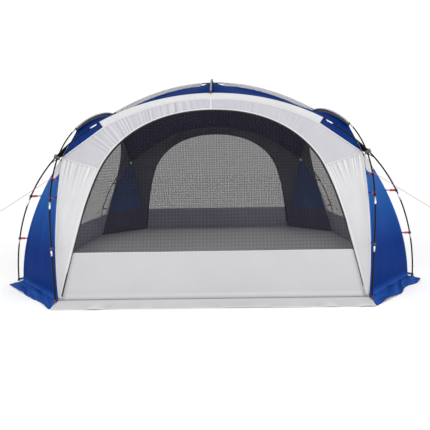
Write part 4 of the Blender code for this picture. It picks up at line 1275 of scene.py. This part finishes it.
for side, where in SIDES.items():
    left, other, brow, door = (CUT[side][part] for part in ("left", "right", "brow", "door"))
    bound = [beside(left, "right", ZIP_SIDE, 0.02), beside(brow, "bottom", ZIP_SIDE, 0.002, 0.998, 160),
             beside(other, "left", ZIP_SIDE, 0.02)]
    seams = [beside(panel, "top", NARROW + 0.001, 0.03, 0.97) for panel in (left, other)]
    seams += [beside(left, "left", NARROW, 0.02, 0.96), beside(other, "right", NARROW, 0.02, 0.96),
              beside(brow, "top", NARROW, 0.01, 0.99, 200)]
    width = np.linalg.norm(brow[:, BROW_COLUMNS + 1] - brow[:, BROW_COLUMNS - 1], axis=-1).mean() / 2
    seams.append(on_sheet(brow, np.linspace(0.4, BROW_ROWS - 0.4, 20)[:, None],
                          BROW_COLUMNS + SEAM_HALF[None] / width))
    trims = [beside(door, "top", NARROW * 1.4 - 0.001, 0.008, 0.992, 100),
             beside(door, "bottom", DOOR_FOOT, 0.012, 0.988, 100)]
    for name, runs, cloth in (("zip_binding", bound, BINDING), ("wall_seams", seams, BINDING),
                              ("door_trim", trims, DOOR_TRIM)):
        sewn_strips(f"{name}_{side}", runs, cloth, WHITE_THREAD, where)

# %% Bindings of the blue cloth
FLAP_EDGE = np.linspace(0.0015, 0.0125, 3)
PANEL_START = FLAP_ROWS / (FLAP_ROWS + PANEL_ROWS)  # where the panel starts above its flap, of the rows
TAPE_WIDTH, TAPE_START = 0.016, 0.385
PATCH_START, PATCH_DIP, PATCH_TOP, PATCH_RISE, PATCH_STEPS = 1.005, 0.058, 0.035, 0.0028, 24
TAPE_PLACES = np.linspace(0.0008, TAPE_WIDTH, 3)


def panel_share(height):
    """Where a height of the corner panel is, as a share of its grid's rows."""
    share = (height - FLOOR_CLOTH) / (HUB_CORNER_HEIGHT - PANEL_TOP - FLOOR_CLOTH)
    return PANEL_START + (1 - PANEL_START) * share


def hub_patch(cloth):
    """The white patch on top of a corner panel, its lower edge pointed in the middle."""
    w = np.linspace(0.004, 0.996, PATCH_STEPS + 1)[None]
    low = PATCH_START - PATCH_DIP * (1 - abs(2 * w - 1))
    heights = mix(low, HUB_CORNER_HEIGHT - PATCH_TOP, steps(PATCH_STEPS)[:, None])
    return on_sheet(cloth, panel_share(heights) * (len(cloth) - 1), w * PANEL_COLUMNS, PATCH_RISE)[0]


for corner, place in CORNERS.items():
    cloth, gore, clips = CUT[corner], CUT[f"roof_{corner}"], f"clip_tape_{corner}"
    start, stop = panel_share(TAPE_START), panel_share(PATCH_START + 0.01)
    tapes = [beside(cloth, edge, TAPE_PLACES, start, stop) for edge in ("left", "right")]
    sewn_strips(f"clip_webbing_{corner}", tapes, BLUE_TAPE, BLUE_THREAD, place, clips)
    hems = [beside(cloth, "bottom", FLAP_EDGE, 0.01, 0.99)]
    hems += [beside(cloth, edge, FLAP_EDGE, 0.02, start - 0.01) for edge in ("left", "right")]
    sewn_strips(f"corner_hem_{corner}", hems, BLUE_HEM, BLUE_THREAD, place)
    print(corner, "patch:", sew(f"corner_patch_{corner}", hub_patch(cloth), place, WHITE, WHITE, clips))
    ridge = [beside(gore, edge, NARROW + 0.002, 0.08, 0.99, facing=UP) for edge in ("bottom", "left")]
    sewn_strips(f"roof_seams_{corner}", ridge, ROOF_TAPE, BLUE_THREAD, place)

# %% [markdown]
# ## Turned and moulded parts
# Knobs, rings and buckles are turned or moulded. A turned part is a profile carried round an axis,
# as Blender's Spin tool does, and a moulded one is a block with bevelled edges. Both are small
# bmesh helpers here, so that one object can hold several parts. Straps are cut as flat plates.

# %% Turned and bevelled shapes
TURNED_SIDES, FLUTED_SIDES, FLUTES, FLUTE_DEPTH = 24, 48, 12, 0.05


def circle_on(axis, angles):
    """Unit steps square to an axis, at these angles round it."""
    one = unit(np.cross(axis, (0, 0, 1.0) if abs(axis[2]) < 0.9 else (1.0, 0, 0)))
    return np.cos(angles) * one + np.sin(angles) * np.cross(axis, one)


def turn(bm, profile, start, axis, sides=TURNED_SIDES, **settings):
    """Adds a turned part. The profile gives its distance along and its radius, ring by ring, and
    a third value where the ring is fluted."""
    axis = unit(np.asarray(axis, float))
    angles = np.linspace(0, 2 * math.pi, sides, endpoint=False)[:, None]
    around, flutes = circle_on(axis, angles), 1 + FLUTE_DEPTH * np.cos(FLUTES * angles)
    add_shell(bm, [start + along * axis + radius * (flutes if fluted else 1) * around
                   for along, radius, *fluted in profile], **settings)


def bar(bm, start, stop, width, thick, across, bevel=0.0008, number=0):
    """Adds a flat bar with rounded edges between two points, its width towards `across`."""
    start, stop = np.asarray(start, float), np.asarray(stop, float)
    along = unit(stop - start)
    wide = unit(across - (across @ along) * along)
    flat = np.cross(along, wide)
    size = Matrix.Diagonal((width, float(np.linalg.norm(stop - start)), thick, 1.0))
    turned = Matrix(np.stack([wide, along, flat], axis=1).tolist()).to_4x4()
    made = bmesh.ops.create_cube(bm, size=1.0, matrix=Matrix.Translation((start + stop) / 2) @ turned @ size)
    edges = dict.fromkeys(edge for vert in made["verts"] for edge in vert.link_edges)  # each once, in order
    rounded = bmesh.ops.bevel(bm, geom=list(edges), offset=bevel, segments=2, profile=0.5, affect="EDGES")
    for face in {face for vert in rounded["verts"] for face in vert.link_faces}:
        face.material_index = number


def plate(bm, corners, thick):
    """Adds a flat piece with these corners, closed at its edges."""
    corners = np.array(corners, float)
    side = unit(np.cross(corners[1] - corners[0], corners[2] - corners[0])) * thick / 2
    low, high = ([bm.verts.new(corner) for corner in corners + shift] for shift in (-side, side))
    faces = [bm.faces.new(low[::-1]), bm.faces.new(high)]
    for k in range(len(corners)):
        after = (k + 1) % len(corners)
        bm.faces.new([low[k], low[after], high[after], high[k]])
    bmesh.ops.triangulate(bm, faces=faces)


print("a turned part has", TURNED_SIDES, "sides")

# %% [markdown]
# ## Hubs
# Where two arch poles cross, a grey knob with a bore for each of them keeps them together. Black
# webbing holds the roof's corner to it, and a light strap the wall's corner.

# %% Hubs
KNOB_PROFILE = [
    (-0.0250, 0.0100), (-0.0240, 0.0125), (-0.0220, 0.0140), (-0.0170, 0.0168), (-0.0120, 0.0175),
    (0.0120, 0.0175), (0.0135, 0.0160), (0.0150, 0.0160), (0.0160, 0.0172, 1), (0.0215, 0.0168, 1),
    (0.0235, 0.0140), (0.0245, 0.0120), (0.0250, 0.0095)]
SCREW_PROFILE = [(0.0248, 0.0048), (0.0262, 0.0048), (0.0266, 0.0042), (0.0266, 0.0012)]
HUB, CORNER_TOP = arch_base(HUB_ANGLE), leg_edge(HUB_CORNER_HEIGHT)
DIAGONAL = unit(point(-1, 1, 0))
WEB_THICK, STRAP_WIDTH, STRAP_THICK = 0.0022, 0.021, 0.0024
WEB_REACHES = (0.035, 0.215)  # how far the webbing runs along the roof's two seams
WEB_DROP = 0.075  # how far it runs down the legs


def hub_straps(bm, gore):
    """Black webbing from the hub to the roof's corner and the legs, and the wall's light strap."""
    off = 0.006 * HUB_NORMAL
    for seam, long in zip((gore[:, -1], gore[-1]), WEB_REACHES):
        near = seam[np.searchsorted(-np.linalg.norm(seam - CORNER_TOP, axis=1), -long)]
        plate(bm, [HUB - 0.010 * UP, CORNER_TOP + 0.004 * UP, near + off / 2, HUB + 0.022 * UP], WEB_THICK)
    for leg, lift in LEGS.items():
        ring = on_leg(leg, leg_point(HUB[2] - WEB_DROP, lift)[0])[0]
        plate(bm, [ring + off, HUB + off - 0.018 * UP, mix(HUB, CORNER_TOP, 0.4) + off - 0.014 * UP],
              WEB_THICK)
    bar(bm, CORNER_TOP - 0.048 * UP + off, HUB + 0.028 * HUB_NORMAL + 0.014 * UP, STRAP_WIDTH, STRAP_THICK,
        DIAGONAL, number=1)


for corner, place in CORNERS.items():
    bm = bmesh.new()
    turn(bm, KNOB_PROFILE, HUB, HUB_NORMAL, FLUTED_SIDES)
    turn(bm, SCREW_PROFILE, HUB, HUB_NORMAL, sides=16, number=1)
    dress(shell_object(f"hub_knob_{corner}", bm, [KNOB_GREY, FERRULE], place), f"hub_{corner}")
    bm = bmesh.new()
    hub_straps(bm, CUT[f"roof_{corner}"])
    dress(shell_object(f"hub_straps_{corner}", bm, [BLACK_WEB, GREY_WEB], place), f"hub_{corner}")
print("knobs at", np.round(HUB, 3), "and its mirror places")

# %% [markdown]
# ## The knob at the top
# The two roof poles cross in a knob, and its stem reaches down to the roof's top.

# %% Apex knob
MIDDLE = (APEX_HEIGHT + LOWER_APEX) / 2
APEX_PROFILE = [
    (-0.0220, 0.0105), (-0.0205, 0.0135), (-0.0150, 0.0150), (0.0060, 0.0150), (0.0085, 0.0125),
    (0.0100, 0.0105), (0.0115, 0.0108, 1), (0.0180, 0.0100, 1), (0.0205, 0.0085), (0.0220, 0.0060)]
STEM_PROFILE = [(0.0, 0.0150), (0.0012, 0.0150), (0.0018, 0.0135), (0.0022, 0.0058), (0.0060, 0.0050),
                (0.040, 0.0050)]
bm = bmesh.new()
turn(bm, APEX_PROFILE, MIDDLE * UP, UP, FLUTED_SIDES)
turn(bm, STEM_PROFILE, (ROOF_APEX + CLOTH / 2 + GAP) * UP, UP, number=1)
dress(shell_object("top_knob", bm, [KNOB_DARK, RING_BLACK], SIDES["front"]), "apex_knob")
print("top of the knob at", round(MIDDLE + APEX_PROFILE[-1][0], 3), "m")

# %% [markdown]
# ## Clips
# The walls hang from the legs in clips: a black ring round the pole, a red hook, and a strap from
# it to the tape on the corner panel's edge. A front or back leg has three, and a side leg two.

# %% Clips
CLIP_HEIGHTS = (0.410, 0.800, 0.955)
CLIPS_ON = {"front": CLIP_HEIGHTS, "side": CLIP_HEIGHTS[:2]}
HOOKS = {"front": (0.028, 0.0140), "side": (0.044, 0.0210)}  # length and width
CLIP_RADIUS, CLIP_BORE, CLIP_HALF, RIM = 0.0115, 0.0066, 0.010, 0.001
RING_PROFILE = [(-CLIP_HALF, CLIP_BORE), (-CLIP_HALF, CLIP_RADIUS - RIM), (RIM - CLIP_HALF, CLIP_RADIUS),
                (CLIP_HALF - RIM, CLIP_RADIUS), (CLIP_HALF, CLIP_RADIUS - RIM), (CLIP_HALF, CLIP_BORE)]
EDGE_RUN = leg_edge(CLIP_HEIGHTS[-1]) - leg_edge(CLIP_HEIGHTS[0])
PANEL_NORMAL = unit(np.cross((1, -1, 0), EDGE_RUN + EDGE_RUN[TO_LEFT]))


def add_clip(bm, height, leg):
    centre, along = leg_point(height, LEGS[leg])
    anchor = leg_edge(height) - TAPE_WIDTH / 2 * unit(np.array([1.0, -1.0, 0.0]))
    centre, along, anchor = on_leg(leg, centre, along, anchor)
    anchor = anchor + PANEL_NORMAL * 0.0042
    reach = unit(anchor - centre)
    turn(bm, RING_PROFILE, centre, along, hollow=True)
    neck = centre + reach * (CLIP_RADIUS - 0.002)
    bar(bm, neck, neck + reach * 0.009, 0.015, 0.0060, along, bevel=0.0015)
    hook, wide = HOOKS[leg]
    bar(bm, neck + reach * 0.007, neck + reach * hook, wide, 0.0040, along, bevel=0.0012, number=1)
    bar(bm, neck + reach * (hook - 0.003), anchor, 0.0090, 0.0022, along, number=2)
    half, across = 0.008 * along, np.cross(along, PANEL_NORMAL)
    bar(bm, anchor - half, anchor + half, 0.012, 0.0030, across, number=2)


for corner, place in CORNERS.items():
    bm = bmesh.new()
    for leg, heights in CLIPS_ON.items():
        for height in heights:
            add_clip(bm, height, leg)
    clips = shell_object(f"clips_{corner}", bm, [RING_BLACK, CLIP_RED, BLUE_WEB], place)
    dress(clips, f"clip_tape_{corner}")
    print(corner, "clips:", len(clips.data.polygons), "faces")

# %% [markdown]
# ## Ties at the feet
# Each leg stands in a black socket that a blue strap ties to the wall's corner, and a red tab on
# the ground loosens it.

# %% Foot ties
SOCKET_PROFILE = [(0.0004, 0.0100), (0.0030, 0.0112), (0.0200, 0.0104), (0.0240, 0.0085), (0.0250, 0.0068)]
TIE_HEIGHT, TAB_HEIGHT, TAB_LONG = 0.022, 0.013, 0.032


def foot_tie(bm, leg):
    foot, tie = on_leg(leg, leg_point(0.0, LEGS[leg])[0], leg_edge(TIE_HEIGHT))
    away = unit((foot - tie) * (1, 1, 0))
    turn(bm, SOCKET_PROFILE, foot, UP)
    bar(bm, tie, foot + 0.018 * UP - away * 0.008, 0.016, 0.0024, UP, number=1)
    if leg == "front":
        tab = foot + TAB_HEIGHT * UP + away * 0.010
        end = tab + TAB_LONG * unit(away + 0.6 * np.cross(UP, away)) - 0.0070 * UP
        bar(bm, tab, end, 0.009, 0.0045, np.cross(UP, end - tab), number=2)


for corner, place in CORNERS.items():
    bm = bmesh.new()
    for leg in LEGS:
        foot_tie(bm, leg)
    dress(shell_object(f"foot_ties_{corner}", bm, [RING_BLACK, BLUE_WEB, CLIP_RED], place))
print("two ties at each corner")

# %% [markdown]
# ## Guy lines and pegs
# From the top clip of a front or back leg a thin red cord runs down to a peg, pulled taut, with a
# loop at each end and a slide that sets its length. The cord is laid from three strands: a tree
# sweeps a three-lobed section along it and twists the section as it goes.

# %% The cord tree
STRAND_WAIST = 0.66  # the section's radius between two strands, as a share of the cord's
CORD, given, line = new_tree("twisted cord", {
    "Radius": ("Float", 0.002), "Step": ("Float", 0.005), "Twist": ("Float", 0.5),
    "Material": ("Material", None)})
even = add_node(CORD, "GeometryNodeResampleCurve", {"Curve": line, "Length": given["Step"]}, mode="LENGTH")
number = add_node(CORD, "GeometryNodeInputIndex")["Index"]
angle = add_node(CORD, "ShaderNodeMath", {0: number, 1: given["Twist"]}, operation="MULTIPLY")[0]
tilted = add_node(CORD, "GeometryNodeSetCurveTilt", {"Curve": even["Curve"], "Tilt": angle})
waist = add_node(CORD, "ShaderNodeMath", {0: given["Radius"], 1: STRAND_WAIST}, operation="MULTIPLY")[0]
lobes = add_node(CORD, "GeometryNodeCurveStar", {
    "Points": 3, "Inner Radius": waist, "Outer Radius": given["Radius"]})
laid = sweep(CORD, tilted["Curve"], lobes["Curve"], given["Material"])
close_tree(CORD, add_node(CORD, "GeometryNodeSetShadeSmooth", {"Geometry": laid})["Geometry"])

# %% Where the guy lines run
GUY, GUY_REACH, PEG, PEG_LENGTH, PEG_LEAN = 0.0040, 1.550, 0.0070, 0.085, 0.25
AWAY = unit(point(-1, -1, 0))


def guy_ends():
    """A guy line's ends, its ring's centre and direction, and its peg's foot and lean."""
    centre, leg = leg_point(CLIP_HEIGHTS[-1], LEGS["front"])
    ground = centre + GUY_REACH * AWAY - point(0, 0, centre[2])
    hook = ground + point(0, 0, PEG_LENGTH * 0.6)
    along = unit(hook - centre)
    slant = math.acos(abs(float(along @ leg)))
    start = centre + unit(along - (along @ leg) * leg) * (CLIP_RADIUS + GAP + GUY / 2 * math.cos(slant))
    stop = hook - unit(hook - start) * (PEG / 2 + GAP)
    lean = unit(point(-PEG_LEAN, -PEG_LEAN, 1))
    rise = PEG / 2 * math.sqrt(1 - lean[2] ** 2)
    return start, stop, centre, leg, hook - lean * (hook[2] - rise) / lean[2], lean


def loop_round(centre, axis, radius):
    return centre + radius * circle_on(axis, np.linspace(0, 2 * math.pi, 25)[:, None])


START, STOP, RING_PLACE, RING_AXIS, PEG_FOOT, PEG_WAY = guy_ends()
GUY_WAY = unit(STOP - START)
GUY_RUNS = [np.array([START, STOP]), loop_round(RING_PLACE, RING_AXIS, CLIP_RADIUS + GUY / 2 + GAP),
            loop_round(STOP + GUY_WAY * (PEG / 2 + GAP), PEG_WAY, PEG / 2 + GUY / 2 + GAP)]
print("a guy line is", round(float(np.linalg.norm(STOP - START)), 3), "m long between its loops")

# %% Guy lines and pegs
CORD_STEP, CORD_TWIST = 0.005, 0.55
CORD_PINK = moulded("pink red cord", (0.52, 0.17, 0.23), 0.6, scale=500.0, bump=0.2)
KNOT_PROFILE = [(-0.0060, 0.0012), (-0.0050, 0.0030), (-0.0020, 0.0042), (0.0010, 0.0034), (0.0040, 0.0040),
                (0.0065, 0.0024), (0.0075, 0.0012)]
SLIDE_START, SLIDE_LONG, SLIDE_KNOT = 0.340, 0.034, 0.300  # from the peg's end
PEG_SIDES, PEG_BEND, HOOK_RADIUS, HOOK_TURN = 12, 9, 0.009, math.pi * 0.8


def peg_line():
    """A peg's line, from its foot up to the hook that is bent over at its head."""
    bend = np.linspace(0, HOOK_TURN, PEG_BEND)[:, None]
    head = PEG_FOOT + PEG_WAY * (PEG_LENGTH - 0.010)
    hooked = head + HOOK_RADIUS * ((1 - np.cos(bend)) * AWAY + np.sin(bend) * PEG_WAY)
    return np.concatenate([[PEG_FOOT, PEG_FOOT + 0.4 * PEG_LENGTH * PEG_WAY], hooked])


def rod(bm, line, radius, sideways):
    """A round rod along a line that bends only in the plane square to `sideways`."""
    normal = np.cross(unit(np.gradient(line, axis=0)), sideways)[:, None]
    angles = np.linspace(0, 2 * math.pi, PEG_SIDES, endpoint=False)[None, :, None]
    add_shell(bm, line[:, None] + radius * (np.cos(angles) * sideways + np.sin(angles) * normal))


for corner, place in CORNERS.items():
    cord = path_object(f"guy_cord_{corner}", [place(run) for run in GUY_RUNS])
    grow(cord, CORD, Radius=GUY / 2, Step=CORD_STEP, Twist=CORD_TWIST, Material=CORD_PINK)
    dress(cord, f"guy_line_{corner}")
    bm = bmesh.new()
    for spot in (START + GUY_WAY * 0.010, STOP - GUY_WAY * 0.014, STOP - GUY_WAY * SLIDE_KNOT):
        turn(bm, KNOT_PROFILE, spot, GUY_WAY, sides=14)
    slide = STOP - GUY_WAY * SLIDE_START
    bar(bm, slide, slide + GUY_WAY * SLIDE_LONG, 0.013, 0.0065, UP, bevel=0.0018, number=1)
    knots = shell_object(f"guy_knots_{corner}", bm, [CORD_PINK, RING_BLACK], place)
    dress(knots, f"guy_line_{corner}")
    bm = bmesh.new()
    rod(bm, peg_line(), PEG / 2, unit(point(1, -1, 0)))
    dress(shell_object(f"steel_peg_{corner}", bm, [FERRULE], place), f"peg_{corner}")
print("a peg stands", PEG_LENGTH, "m out of the ground")
